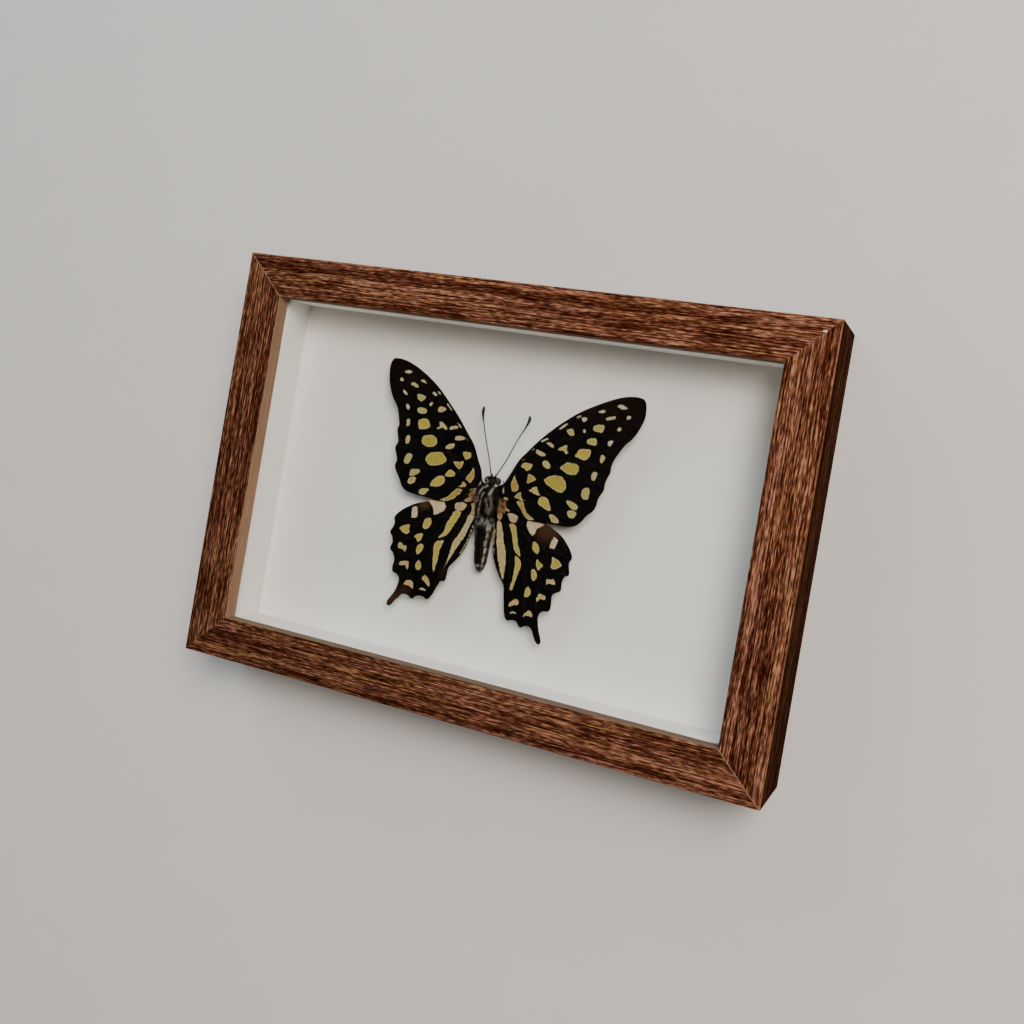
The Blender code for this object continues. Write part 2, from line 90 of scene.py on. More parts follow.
def editParts(item, test, faces=False):
    # opens edit mode with only the edges (or faces) that pass the test selected: an edge by
    # its two ends, a face by its centre and normal; millimetres
    pick(item)
    mesh = item.data
    bpy.context.tool_settings.mesh_select_mode = (False, not faces, faces)
    for part in (mesh.vertices, mesh.edges, mesh.polygons):
        for element in part:
            element.select = False
    for part in mesh.polygons if faces else mesh.edges:
        part.select = bool(test(part.center / mm, part.normal) if faces else test(
            *(mesh.vertices[corner].co / mm for corner in part.vertices)))
    bpy.ops.object.mode_set(mode="EDIT")


def editAll(item):
    pick(item)
    bpy.ops.object.mode_set(mode="EDIT")
    bpy.ops.mesh.select_all(action="SELECT")


def leaveEdit():
    bpy.ops.object.mode_set(mode="OBJECT")


def bevelEdges(item, test, width, segments):
    editParts(item, test)
    bpy.ops.mesh.bevel(offset=width * mm, segments=segments, affect="EDGES")
    leaveEdit()


def bisectAt(item, place, normal, drop=False):
    # cuts the whole mesh at a plane; drop removes the side that the normal points to
    editAll(item)
    bpy.ops.mesh.bisect(
        plane_co=[value * mm for value in place], plane_no=normal,
        use_fill=drop, clear_outer=drop, threshold=1e-7)
    leaveEdit()


def tidyNormals(item, merge=1e-7):
    editAll(item)
    bpy.ops.mesh.remove_doubles(threshold=merge)
    bpy.ops.mesh.normals_make_consistent(inside=False)
    leaveEdit()
    return item


def applyModifiers(item):
    pick(item)
    for change in list(item.modifiers):
        bpy.ops.object.modifier_apply(modifier=change.name)
    return item


def smoothBy(item, degrees):
    pick(item)
    bpy.ops.object.shade_smooth_by_angle(angle=math.radians(degrees))
    return item


def modify(item, kind, **settings):
    change = item.modifiers.new(kind, kind)
    for key, value in settings.items():
        setattr(change, key, value)


def combine(item, tool, operation="DIFFERENCE"):
    modify(item, "BOOLEAN", operation=operation, object=tool)
    applyModifiers(item)
    bpy.data.objects.remove(tool, do_unlink=True)


def finishPiece(item, material, nodes=()):
    item.data.materials.clear()
    item.data.materials.append(material)
    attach(item, "root")
    if nodes:
        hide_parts(*nodes)
    return item


# Shader helpers

def addNode(kind, inputs, tree=None, **settings):
    # goes into the tree of the first socket that it is given
    tree = tree or next(value.id_data for value in inputs.values()
                        if isinstance(value, bpy.types.NodeSocket))
    node = tree.nodes.new(kind)
    for key, value in settings.items():
        setattr(node, key, value)
    for key, value in inputs.items():
        socket = node.inputs[key]
        if isinstance(value, bpy.types.NodeSocket):
            tree.links.new(value, socket)
        else:
            socket.default_value = value
    return node


def maths(operation, first, second=0.0, third=0.0):
    return addNode("ShaderNodeMath", {0: first, 1: second, 2: third},
                   operation=operation).outputs[0]


def mixColour(share, first, second, blend="MIX"):
    return addNode("ShaderNodeMix", {0: share, 6: first, 7: second},
                   data_type="RGBA", blend_type=blend).outputs[2]


def grey(value):
    return addNode("ShaderNodeCombineColor",
                   {"Red": value, "Green": value, "Blue": value}).outputs[0]


def multiplied(first, second):
    return mixColour(1.0, first, second, "MULTIPLY")


def plug(sockets, **values):
    for key, value in values.items():
        value.id_data.links.new(value, sockets[key.replace("_", " ")])


def spread(value, low, high, first=0.0, second=1.0):
    return addNode("ShaderNodeMapRange",
                   {"Value": value, "From Min": low, "From Max": high,
                    "To Min": first, "To Max": second}, clamp=True).outputs["Result"]


def fadeAt(value, edges, first=0.0, second=1.0):
    # spread between two places in millimetres
    return spread(value, edges[0] * mm, edges[1] * mm, first, second)


def noise(vector, scale, detail=2.0, rough=0.5):
    return addNode("ShaderNodeTexNoise",
                   {"Vector": vector, "Scale": scale, "Detail": detail,
                    "Roughness": rough}).outputs["Fac"]


def stretched(vector, scale, place=(0.0, 0.0, 0.0), turn=0.0):
    return addNode("ShaderNodeMapping",
                   {"Vector": vector, "Scale": scale, "Location": place,
                    "Rotation": (0.0, 0.0, turn)}).outputs["Vector"]


def newGroup(name, outputs, **inputs):
    # an input is given as its kind or, where it is a number, as its usual value
    tree = bpy.data.node_groups.new(name, "ShaderNodeTree")
    for label, value in inputs.items():
        number = isinstance(value, float)
        socket = tree.interface.new_socket(
            label, in_out="INPUT", socket_type="NodeSocket" + ("Float" if number else value))
        if number:
            socket.default_value = value
    for label in outputs:
        kind = "NodeSocketColor" if label == "Color" else "NodeSocketFloat"
        tree.interface.new_socket(label, in_out="OUTPUT", socket_type=kind)
    start = tree.nodes.new("NodeGroupInput")
    end = tree.nodes.new("NodeGroupOutput")
    return start.outputs, end.inputs


def useGroup(name, inputs):
    return addNode("ShaderNodeGroup", inputs,
                   node_tree=bpy.data.node_groups[name]).outputs


def newMaterial(name, **settings):
    made = bpy.data.materials.new(name)
    made.use_nodes = True
    shader = made.node_tree.nodes["Principled BSDF"]
    for key, value in settings.items():
        shader.inputs[key.replace("_", " ")].default_value = value
    where = made.node_tree.nodes.new("ShaderNodeTexCoord").outputs["Object"]
    return made, shader, where


def bumped(shader, height, distance, strength=1.0):
    node = addNode("ShaderNodeBump",
                   {"Height": height, "Distance": distance, "Strength": strength})
    plug(shader.inputs, Normal=node.outputs["Normal"])


# Surface effects that several materials share

woodMix = {
    "wander": 0.0022, "band": 0.40, "streak": 0.67, "pore": 0.46, "tones": (0.665, 0.895),
    "hue": (0.40, 0.62), "purplish": (1.0, 0.95, 1.10, 1.0), "golden": (1.02, 1.02, 0.88, 1.0),
    "thread": (0.38, 0.62, 0.50, 1.35),
}
woodLayers = {                  # scale along and across the grain, detail and roughness
    "wave": ((12, 80, 80), 1.0, 0.5), "band": ((9, 520, 520), 2.0, 0.55),
    "streak": ((75, 2300, 2300), 1.5, 0.6), "pore": ((420, 3300, 3300), 2.0, 0.6),
    "hue": ((22, 700, 700), 2.0, 0.5), "thread": ((450, 2700, 2700), 0.5, 0.5),
}


def woodLayer(vector, name):
    scale, detail, rough = woodLayers[name]
    return noise(stretched(vector, scale), 1.0, detail, rough)


def makeGroups():
    # printed wood: long soft bands, streaks inside them, and short pores; X is the grain
    given, out = newGroup("woodPrint", ("Color", "Height"), Vector="Vector", Dark="Color",
                          Middle="Color", Light="Color")
    wave = woodLayer(given["Vector"], "wave")
    shift = addNode("ShaderNodeCombineXYZ",
                    {"Y": maths("MULTIPLY", wave, woodMix["wander"])}).outputs[0]
    bent = addNode("ShaderNodeVectorMath", {0: given["Vector"], 1: shift},
                   operation="ADD").outputs[0]
    band, streak, pore, thread = (
        woodLayer(bent, name) for name in ("band", "streak", "pore", "thread"))
    total = maths("MULTIPLY", streak, woodMix["streak"])
    total = maths("MULTIPLY_ADD", band, woodMix["band"], total)
    total = maths("MULTIPLY_ADD", pore, woodMix["pore"], total)
    share = spread(total, *woodMix["tones"])
    low = mixColour(spread(share, 0.0, 0.5), given["Dark"], given["Middle"])
    colour = mixColour(spread(share, 0.5, 1.0), low, given["Light"])
    # the print wanders between a purplish and a golden brown
    hue = spread(woodLayer(given["Vector"], "hue"), *woodMix["hue"])
    hue = mixColour(hue, woodMix["purplish"], woodMix["golden"])
    colour = multiplied(colour, hue)
    thread = spread(thread, *woodMix["thread"])
    plug(out, Color=multiplied(colour, grey(thread)), Height=share)

    # paper or board: a fine tooth and faint clouds in the colour
    given, out = newGroup("paperTooth", ("Color", "Height"), Vector="Vector", Color="Color",
                          Grain=1600.0, Cloud=0.03)
    fine = noise(given["Vector"], given["Grain"], 3.0, 0.65)
    cloud = noise(given["Vector"], 60.0, 2.0)
    both = maths("MULTIPLY_ADD", maths("SUBTRACT", fine, 0.5), 0.5, maths("SUBTRACT", cloud, 0.5))
    scale = maths("MULTIPLY_ADD", both, maths("MULTIPLY", given["Cloud"], 2.0), 1.0)
    plug(out, Color=multiplied(given["Color"], grey(scale)), Height=fine)

    # small scratches and specks, for metal and glass
    given, out = newGroup("fineWear", ("Mask", "Height"), Vector="Vector", Scale=900.0)
    specks = noise(given["Vector"], given["Scale"], 4.0, 0.7)
    lines = noise(stretched(given["Vector"], (0.08, 1.4, 1.0)), given["Scale"], 2.0, 0.5)
    mixed = maths("MULTIPLY_ADD", lines, 0.5, maths("MULTIPLY", specks, 0.5))
    plug(out, Mask=spread(mixed, 0.35, 0.65), Height=mixed)

    # rows of tiny scales or hairs, for the insect
    given, out = newGroup("scaleRows", ("Mask", "Height"), Vector="Vector", Size=7000.0)
    cells = addNode("ShaderNodeTexVoronoi",
                    {"Vector": stretched(given["Vector"], (1.0, 0.6, 1.0)),
                     "Scale": given["Size"]})
    tone = addNode("ShaderNodeSeparateColor", {0: cells.outputs["Color"]}).outputs[0]
    plug(out, Mask=tone, Height=cells.outputs["Distance"])


makeGroups()
print("shader groups made")


# The frame's rails

rails = {
    "width": 178.0, "height": 127.0, "depth": 31.75,
    "face": 12.7,               # width of the front face
    "wall": 6.5,                # thickness behind the lip
    "lipBack": 26.0,            # height of the lip's back
    "outerRound": 0.5, "innerRound": 0.3, "backRound": 0.25,
    "mitreGap": 0.03,
    "sides": {"bottom": (0.0, 178.0, 127.0), "right": (90.0, 127.0, 178.0),
              "top": (180.0, 178.0, 127.0), "left": (-90.0, 127.0, 178.0)},
    "grainDark": (0.030, 0.0058, 0.0022, 1.0),
    "grainMiddle": (0.114, 0.040, 0.020, 1.0),
    "grainLight": (0.300, 0.142, 0.078, 1.0),
    # painted shade: the lips of the top and bottom rails are tinted darker and greyer than the
    # side rails' lips
    "lipAcrossShaded": (0.27, 0.21, 0.15, 1.0), "lipUpright": (0.45, 0.29, 0.19, 1.0),
    "coreTint": (0.42, 0.26, 0.16, 1.0),
    "paintedShadeX": 1.4, "paintedShadeY": 1.6, "paintedShadeMiddle": 0.84,   # painted light: the foil is darker towards the lower left and lighter towards the upper right, per metre
    "sideShade": 0.38,          # painted shade: the outer sides are painted much darker than the front
    "chip": (85.0, 59.9),       # a nick beside the top right mitre
    # where each mark of the foil begins and ends, and how much of it shows
    "cutEdge": (0.20, 0.38), "cutShare": 0.5, "cutHidden": 0.12,
    "lipEdge": (12.62, 12.68), "lipShare": 0.52, "rimEdge": (0.50, 0.80), "rimShare": 0.65,
    "frontEdge": (31.0, 31.3), "sideEdge": (0.1, 0.45),
    "chipEdge": (0.50, 0.65), "chipShare": 0.72, "chipTint": (0.70, 0.62, 0.50, 1.0),
}

tabs = {"length": 14.0, "width": 6.0, "thickness": 0.5, "top": 5.55, "inRail": 3.5,
        "play": 0.05, "tipRound": 2.2, "edgeRound": 0.08,
        "places": {"bottom": (-48.06, 48.06), "top": (-48.06, 48.06),
                   "left": (0.0,), "right": (0.0,)}}


def foilMaterial(name, turn, offset, lipTint):
    made, shader, where = newMaterial(name, Roughness=0.5, Specular_IOR_Level=0.0)
    along = stretched(where, (1, 1, 1), offset, turn)
    wood = useGroup("woodPrint", {
        "Vector": along, "Dark": rails["grainDark"], "Middle": rails["grainMiddle"],
        "Light": rails["grainLight"]})
    axes = addNode("ShaderNodeSeparateXYZ", {0: where}).outputs
    fromSide = maths("SUBTRACT", rails["width"] / 2 * mm, maths("ABSOLUTE", axes[0]))
    fromEnd = maths("SUBTRACT", rails["height"] / 2 * mm, maths("ABSOLUTE", axes[1]))
    inward = maths("MINIMUM", fromSide, fromEnd)
    offMitre = maths("ABSOLUTE", maths("SUBTRACT", fromSide, fromEnd))
    rough = noise(where, 900.0, 3.0)
    # the cut edge of the foil shows pale along the top left and bottom right mitres
    cut = fadeAt(maths("MULTIPLY_ADD", rough, 0.25 * mm, offMitre),
                 rails["cutEdge"], rails["cutShare"], 0.0)
    sameSign = maths("MULTIPLY", axes[0], axes[1])
    cut = maths("MULTIPLY", cut, fadeAt(sameSign, (-mm, mm), 1.0, rails["cutHidden"]))
    # the lip's inner face is plainer, and the turned outer edge is painted pale, partly as worn
    # foil and partly as a painted highlight
    lip = fadeAt(inward, rails["lipEdge"], 0.0, rails["lipShare"])
    rim = fadeAt(maths("MULTIPLY_ADD", rough, 0.9 * mm, inward),
                 rails["rimEdge"], rails["rimShare"], 0.0)
    front = fadeAt(axes[2], rails["frontEdge"])
    rim = maths("MULTIPLY", rim, front)
    # painted shade: the outer sides of the rails are mixed towards black
    paintedSideShade = fadeAt(inward, rails["sideEdge"], 1.0 - rails["sideShade"], 0.0)
    paintedSideShade = maths("MULTIPLY", paintedSideShade, maths("SUBTRACT", 1.0, front))
    # painted light: the foil's colour is scaled darker towards the lower left and lighter towards
    # the upper right
    tone = maths("MULTIPLY_ADD", axes[1], rails["paintedShadeY"], rails["paintedShadeMiddle"])
    tone = maths("MULTIPLY_ADD", axes[0], rails["paintedShadeX"], tone)
    colour = multiplied(wood["Color"], grey(tone))
    colour = mixColour(lip, colour, lipTint)
    colour = mixColour(paintedSideShade, colour, (0.0, 0.0, 0.0, 1.0))
    colour = mixColour(rim, colour, rails["grainLight"])
    colour = mixColour(cut, colour, rails["coreTint"])
    fromChip = addNode("ShaderNodeVectorMath", {
        0: where, 1: (rails["chip"][0] * mm, rails["chip"][1] * mm, rails["depth"] * mm)},
        operation="SUBTRACT").outputs["Vector"]
    chip = addNode("ShaderNodeVectorMath", {0: stretched(fromChip, (0.55, 1.0, 1.0))},
                   operation="LENGTH").outputs["Value"]
    nick = fadeAt(maths("MULTIPLY_ADD", rough, 0.6 * mm, chip),
                  rails["chipEdge"], rails["chipShare"], 0.0)
    colour = mixColour(nick, colour, rails["chipTint"])
    plug(shader.inputs, Base_Color=colour,
         Roughness=spread(wood["Height"], 0.0, 1.0, 0.42, 0.56))
    bumped(shader, wood["Height"], 0.05 * mm, 0.5)
    return made


def makeRail(side):
    turn, length, across = rails["sides"][side]
    outer = -across / 2
    item = addBox("rail_" + side, (-length / 2, outer, 0.0),
                  (length / 2, outer + rails["wall"], rails["depth"]))
    bisectAt(item, (0, 0, rails["lipBack"]), (0, 0, 1))
    editParts(item, lambda place, normal: normal.y > 0.9 and place.z > rails["lipBack"], True)
    bpy.ops.mesh.extrude_region_move(
        TRANSFORM_OT_translate={"value": (0, (rails["face"] - rails["wall"]) * mm, 0)})
    leaveEdit()
    for end in (-1, 1):
        normal = Vector((end, 1, 0)).normalized()
        corner = Vector((end * length / 2, outer, 0)) - normal * rails["mitreGap"] / 2
        bisectAt(item, corner, normal, drop=True)
    tidyNormals(item)
    front = rails["depth"] - 0.01
    for place, size in ((outer, "outerRound"), (outer + rails["face"], "innerRound")):
        bevelEdges(item, lambda a, b: min(a.z, b.z) > front and abs(a.y - place) < 0.05
                   and abs(b.y - place) < 0.05, rails[size], 3)
    # the long outer back edge is eased a little too
    bevelEdges(item, lambda a, b: max(a.z, b.z) < 0.01 and abs(a.y - outer) < 0.05
               and abs(b.y - outer) < 0.05, rails["backRound"], 2)
    inner = outer + rails["wall"]
    half, play = tabs["width"] / 2, tabs["play"]
    for place in tabs["places"][side]:
        tool = addBox("tabSlot", (place - half - play, inner - tabs["inRail"] - play,
                                  tabs["top"] - tabs["thickness"] - play),
                      (place + half + play, inner + 1.0, tabs["top"] + play))
        combine(item, tool)
    item.rotation_euler.z = math.radians(turn)
    applyPlace(item)
    tidyNormals(item)
    return smoothBy(item, 35)


foilFlat = foilMaterial("foilAcross", 0.0, (0.0, 0.0, 0.0), rails["lipAcrossShaded"])
foilUpright = foilMaterial("foilUpright", math.pi / 2, (0.31, 0.17, 0.0), rails["lipUpright"])
for side in rails["sides"]:
    finish = foilFlat if side in ("top", "bottom") else foilUpright
    finishPiece(makeRail(side), finish, ["rail_" + side])
print("rails done")


# Glass, spacers and card

inside = {
    "halfX": 82.2, "halfY": 56.7, "windowX": 76.3, "windowY": 50.8,
    "spacerLow": 10.67, "spacerHigh": 23.66,
    "fit": 0.02, "edgeRound": 0.08,
    "cardTint": (0.87, 0.835, 0.79, 1.0),
    "spacerTint": (0.93, 0.895, 0.855, 1.0),
    "glassTint": (0.97, 0.985, 0.98, 1.0),
}


def cardMaterial(name, tint, grain, bump):
    made, shader, where = newMaterial(name, Roughness=0.85)
    paper = useGroup("paperTooth", {"Vector": where, "Color": tint, "Grain": grain})
    plug(shader.inputs, Base_Color=paper["Color"],
         Roughness=spread(paper["Height"], 0.3, 0.7, 0.8, 0.95))
    bumped(shader, paper["Height"], bump * mm)
    return made


def glassMaterial():
    made, shader, where = newMaterial(
        "clearGlass", Base_Color=inside["glassTint"], Roughness=0.0, IOR=1.5,
        Transmission_Weight=1.0)
    wear = useGroup("fineWear", {"Vector": where, "Scale": 300.0})
    plug(shader.inputs, Roughness=spread(wear["Mask"], 0.0, 1.0, 0.0, 0.025))
    # daylight passes straight through it, so that the card is lit
    clear = addNode("ShaderNodeBsdfTransparent", {"Color": (0.93, 0.945, 0.935, 1.0)},
                    made.node_tree)
    path = made.node_tree.nodes.new("ShaderNodeLightPath").outputs
    direct = maths("MAXIMUM", path["Is Shadow Ray"], path["Is Diffuse Ray"])
    join = addNode("ShaderNodeMixShader", {0: direct, 1: shader.outputs[0], 2: clear.outputs[0]})
    plug(made.node_tree.nodes["Material Output"].inputs, Surface=join.outputs[0])
    return made


def makeSpacer(name, low, high):
    item = addBox(name, low, high)
    bevelEdges(item, lambda a, b: True, inside["edgeRound"], 2)
    return smoothBy(item, 40)


def dress(node, material):
    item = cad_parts[node]
    for slot in item.material_slots:
        slot.material = material


dress("glass", glassMaterial())
dress("backing_card", cardMaterial("toothedCard", inside["cardTint"], 1500.0, 0.05))
spacerPaper = cardMaterial("spacerPaper", inside["spacerTint"], 2600.0, 0.015)
hx, hy, wx, wy = inside["halfX"], inside["halfY"], inside["windowX"], inside["windowY"]
zl, zh, fit = inside["spacerLow"], inside["spacerHigh"], inside["fit"]
for name, low, high in (
        ("spacer_top", (-hx, wy, zl), (hx, hy, zh)),
        ("spacer_bottom", (-hx, -hy, zl), (hx, -wy, zh)),
        ("spacer_left", (-hx, fit - wy, zl), (-wx, wy - fit, zh)),
        ("spacer_right", (wx, fit - wy, zl), (hx, wy - fit, zh))):
    finishPiece(makeSpacer(name, low, high), spacerPaper, [name])
print("glass, card and spacers done")


# Back of the frame

back = {
    "boardTint": (0.20, 0.115, 0.060, 1.0), "boardLight": (0.34, 0.215, 0.125, 1.0),
    "steelTint": (0.60, 0.60, 0.58, 1.0), "steelDull": (0.42, 0.42, 0.41, 1.0),
}


def boardMaterial():
    made, shader, where = newMaterial("pressedBoard", Roughness=0.75)
    paper = useGroup("paperTooth", {
        "Vector": where, "Color": back["boardTint"], "Grain": 1100.0, "Cloud": 0.25})
    fibres = noise(stretched(where, (900, 2600, 900)), 1.0, 3.0, 0.7)
    colour = mixColour(spread(fibres, 0.5, 0.75), paper["Color"], back["boardLight"])
    plug(shader.inputs, Base_Color=colour)
    bumped(shader, maths("ADD", paper["Height"], fibres), 0.04 * mm)
    return made


def maskedMaterial(name, group, inputs, tint, otherTint, rough, bump, **settings):
    # a shared effect's mask mixes two tints and varies the roughness
    made, shader, where = newMaterial(name, **settings)
    effect = useGroup(group, {"Vector": where, **inputs})
    plug(shader.inputs, Base_Color=mixColour(effect["Mask"], tint, otherTint),
         Roughness=spread(effect["Mask"], 0.0, 1.0, *rough))
    bumped(shader, effect["Height"], bump * mm)
    return made


steel = maskedMaterial("zincSteel", "fineWear", {"Scale": 700.0}, back["steelTint"],
                       back["steelDull"], (0.28, 0.5), 0.01, Roughness=0.35, Metallic=1.0)
dress("back_panel", boardMaterial())
for name in ("hanger", "hanger_rivet_left", "hanger_rivet_right"):
    dress(name, steel)


def makeTab(name, side, place):
    turn, length, across = rails["sides"][side]
    inner = -across / 2 + rails["wall"]
    half, tip = tabs["width"] / 2, inner - tabs["inRail"] + tabs["length"]
    item = addBox(name, (place - half, inner - tabs["inRail"], tabs["top"] - tabs["thickness"]),
                  (place + half, tip, tabs["top"]))
    bevelEdges(item, lambda a, b: min(a.y, b.y) > tip - 0.01 and abs(a.z - b.z) > 0.3,
               tabs["tipRound"], 5)
    bevelEdges(item, lambda a, b: abs(a.z - b.z) < 0.01, tabs["edgeRound"], 1)
    item.rotation_euler.z = math.radians(turn)
    applyPlace(item)
    return smoothBy(item, 40)


for side, places in tabs["places"].items():
    for index, place in enumerate(places):
        name = "tab_" + side + ("_%d" % (index + 1) if len(places) > 1 else "")
        finishPiece(makeTab(name, side, place), steel, [name])
print("back done")


# Wings

tints = {
    "white": (0.52, 0.44, 0.35), "pale": (0.39, 0.335, 0.095), "yellow": (0.42, 0.32, 0.060),
    "green": (0.36, 0.290, 0.050), "amber": (0.335, 0.222, 0.042), "orange": (0.35, 0.185, 0.085),
    "pink": (0.58, 0.43, 0.28), "cream": (0.46, 0.345, 0.155), "grey": (0.14, 0.125, 0.10),
    "dash": (0.52, 0.47, 0.42), "fringe": (0.34, 0.28, 0.22), "peach": (0.47, 0.325, 0.115),
    "dusky": (0.45, 0.30, 0.18),
    "rim": (0.60, 0.52, 0.30), "speck": (0.16, 0.085, 0.030),
}

wings = {
    "grid": 0.3,                # spacing of the sheet's points
    "thickness": 0.14,
    "span": 38.0, "camber": 0.45,
    "foreRoot": 16.45, "foreRise": 0.9, "hindRoot": 15.85, "hindRise": 0.3,
    "flute": 0.16,              # depth of the folds between the veins
    "fluteWidth": 1.7,
    "hindShift": -0.3,          # the hindwing markings were measured that far to the right
    "black": (0.0012, 0.0008, 0.0008), "apex": (0.0050, 0.0018, 0.0013),
    "brown": (0.070, 0.031, 0.016),
    "widened": {"dash": 0.16, "fringe": 0.08},      # thin marks keep their full width
    # the look of the scales: where a spot's colour and rim end, its specks, and the powder
    "ragged": 0.9, "spotEdge": (-0.22, -0.08, 1.0, 0.0), "rimEdge": (-0.48, -0.32, 0.0, 0.5),
    "specks": (0.52, 0.72, 0.0, 0.6), "powder": (0.3, 0.7, 0.82, 1.1), "veinWidth": 0.22,
    "veinShare": 0.25, "veinTint": (0.03, 0.022, 0.016, 1.0),
    # worn brown patches of the hindwings: place, reach and depth
    "brownPatches": [(17.0, -4.6, 5.2, 0.7), (-22.5, -4.6, 2.6, 0.8), (-28.0, -35.0, 4.0, 0.6),
                     (-24.5, -32.0, 3.0, 0.35), (19.6, -33.0, 2.0, 0.10),
                     (-12.6, -24.3, 2.3, 0.15), (3.3, -20.5, 2.2, 0.2)],
}

# The corners of the outlines; here and below, points are x,y in tenths of a millimetre
outlines = {
    "forewing_left":
        "-36,16 -38,42 -52,54 -61,85 -76,114 -95,153 -119,183 -150,221 -190,263 -229,301 -261,326 "
        "-301,351 -333,366 -360,375 -386,378 -401,376 -408,367 -411,343 -408,318 -400,289 "
        "-386,259 -367,234 -358,214 -352,193 -348,177 -351,162 -346,143 -342,124 -348,106 -341,86 "
        "-336,69 -339,53 -333,37 -317,14 -304,-7 -290,-17 -261,-23 -219,-26 -172,-28 -149,-25 "
        "-124,-11 -95,7 -68,11",
    "forewing_right":
        "-8,16 -6,44 13,56 26,79 38,107 51,134 71,161 101,200 134,235 169,268 205,297 250,325 "
        "294,348 329,362 355,367 376,367 388,362 395,348 398,329 396,304 386,275 372,249 354,227 "
        "342,205 331,182 326,164 326,146 320,128 316,111 316,93 308,75 303,60 302,44 295,28 "
        "279,12 265,-10 249,-24 222,-30 186,-32 151,-33 116,-33 101,-28 79,-4 56,13 26,12",
    "hindwing_left":
        "-40,-30 -38,6 -59,12 -94,6 -133,-9 -183,-22 -217,-37 -255,-52 -277,-65 -296,-79 -310,-94 "
        "-316,-107 -312,-118 -314,-132 -322,-152 -314,-163 -309,-178 -313,-203 -301,-214 "
        "-294,-231 -295,-261 -291,-269 -278,-273 -267,-286 -268,-303 -273,-323 -286,-347 "
        "-295,-366 -289,-374 -280,-370 -272,-358 -258,-341 -249,-330 -228,-330 -215,-337 "
        "-204,-327 -178,-323 -167,-328 -153,-313 -145,-295 -137,-275 -133,-266 -120,-262 "
        "-117,-247 -114,-219 -103,-203 -84,-175 -70,-141 -61,-106 -56,-80 -55,-54",
    "hindwing_right":
        "-10,-30 -8,6 18,20 50,17 98,-4 140,-24 166,-36 197,-50 219,-64 235,-81 247,-97 255,-117 "
        "249,-131 252,-150 254,-166 244,-173 238,-188 239,-206 238,-216 224,-225 216,-234 "
        "216,-245 217,-269 213,-280 193,-286 186,-300 188,-319 194,-341 202,-361 205,-375 "
        "199,-381 191,-376 180,-360 172,-344 163,-337 147,-339 139,-345 131,-341 122,-331 "
        "106,-330 96,-334 89,-331 81,-316 75,-288 70,-262 66,-238 47,-212 30,-184 16,-153 10,-119 "
        "7,-81 4,-50",
}

# Markings of each wing: a tint, then the corners of the patch
markings = {}
markings["forewing_left"] = [
    "white -361,341 -346,347.5 -332,346 -334,339 -349,335",
    "white -372,316 -367,322 -356,316 -360,309 -369,311",
    "white -302.5,323 -290,326 -279,316 -283,313 -297,316",
    "cream -331,309 -324,313 -306,306 -302.5,298 -315,297.5 -329,302",
    "white -356,285 -346,284 -336,273 -342,269 -352.5,277",
    "white -257,289 -251,294 -240,289 -237,284 -244,280 -252.5,284",
    "pale -305,280 -277.5,277 -275,267 -286,257 -301,262.5",
    "white -260,254 -254,261 -247,259 -251,250 -258,248",
    "cream -230,239 -226,251 -211,254 -201,246 -211,236 -226,234",
    "white -336,242 -326,243 -321,234 -324,226 -334,230",
    "pale -294,239 -272,240 -262.5,232 -269,221 -293,222",
    "cream -325,197.5 -315,199 -311,186 -319,175 -325,178",
    "yellow -286,200 -272,208 -256,208 -247,196 -245,185 -258,176 -279,174 -286,186",
    "cream -219,205 -211,208 -197,200 -188,189 -194,184 -206,189 -219,181 -224,186 -216,193",
    "cream -184,193 -176,200 -158,204 -152.5,198 -165,191 -181,187",
    "cream -161,167 -154,174 -136,176 -127,170 -134,162.5 -157,158",
    "green -267,145 -261,157 -240,163 -222,160 -213,146 -219,130 -241,124 -261,130",
    "cream -318,148 -307,149 -303,136 -308,122 -318,125",
    "pale -185,137.5 -169,148 -156,148 -159,136 -169,129 -183,129",
    "yellow -129,125 -125,130 -106,132 -98,124 -101,114 -117,106",
    "green -244,89 -236,104 -225,112 -197,117.5 -181,107 -174,95 -184,82 -204,74 -226,70 -236,77",
    "amber -152,96 -136,98 -122,102.5 -120,93 -126,75 -136,77 -146,85",
    "pale -308,92 -299,97 -286,92 -289,77 -296,63 -311,65 -312,77",
    "amber -86,89 -81,77 -78,66 -85,46 -92,41 -106,54 -97,68 -91,80",
    "yellow -173,51 -165,64 -158,71 -144,66 -137,58 -144,50 -168,46",
    "yellow -216,13 -211,27 -197,42 -178,49 -167.5,36 -173,21 -190,11 -211,9",
    "pale -287,35 -284,48 -272,53 -253,53 -255,43 -269,31 -283,28",
    "pale -289,13 -286,24 -272,29 -261,26 -265,11 -277.5,3 -288,7",
    "pale -247,-14 -240,-2 -214,1 -219,-11 -229,-21 -245,-19",
    "amber -130,24 -117,30 -113,44 -100,36 -101,27 -119,22.5",
    "amber -176,-25 -154,-11 -136,10 -127.5,19 -109,18 -110,11 -126,-9 -147,-24 -165,-28",
    "grey -58,55 -54,46 -56,31 -64,33 -62,46",
    "orange -81,24 -69,30 -61,21 -65,4 -83,-6 -87.5,0 -81,13",
    "dash -240,298 -228,291 -228,288 -239,295",
    "dash -203,266 -184,248 -185,244 -202,262",
    "dash -158,212 -145,201 -146,198 -157,209",
    "grey -129,176 -115,164 -116,160 -128,172",
    "grey -105,138 -79,106 -79,102 -103,133"]
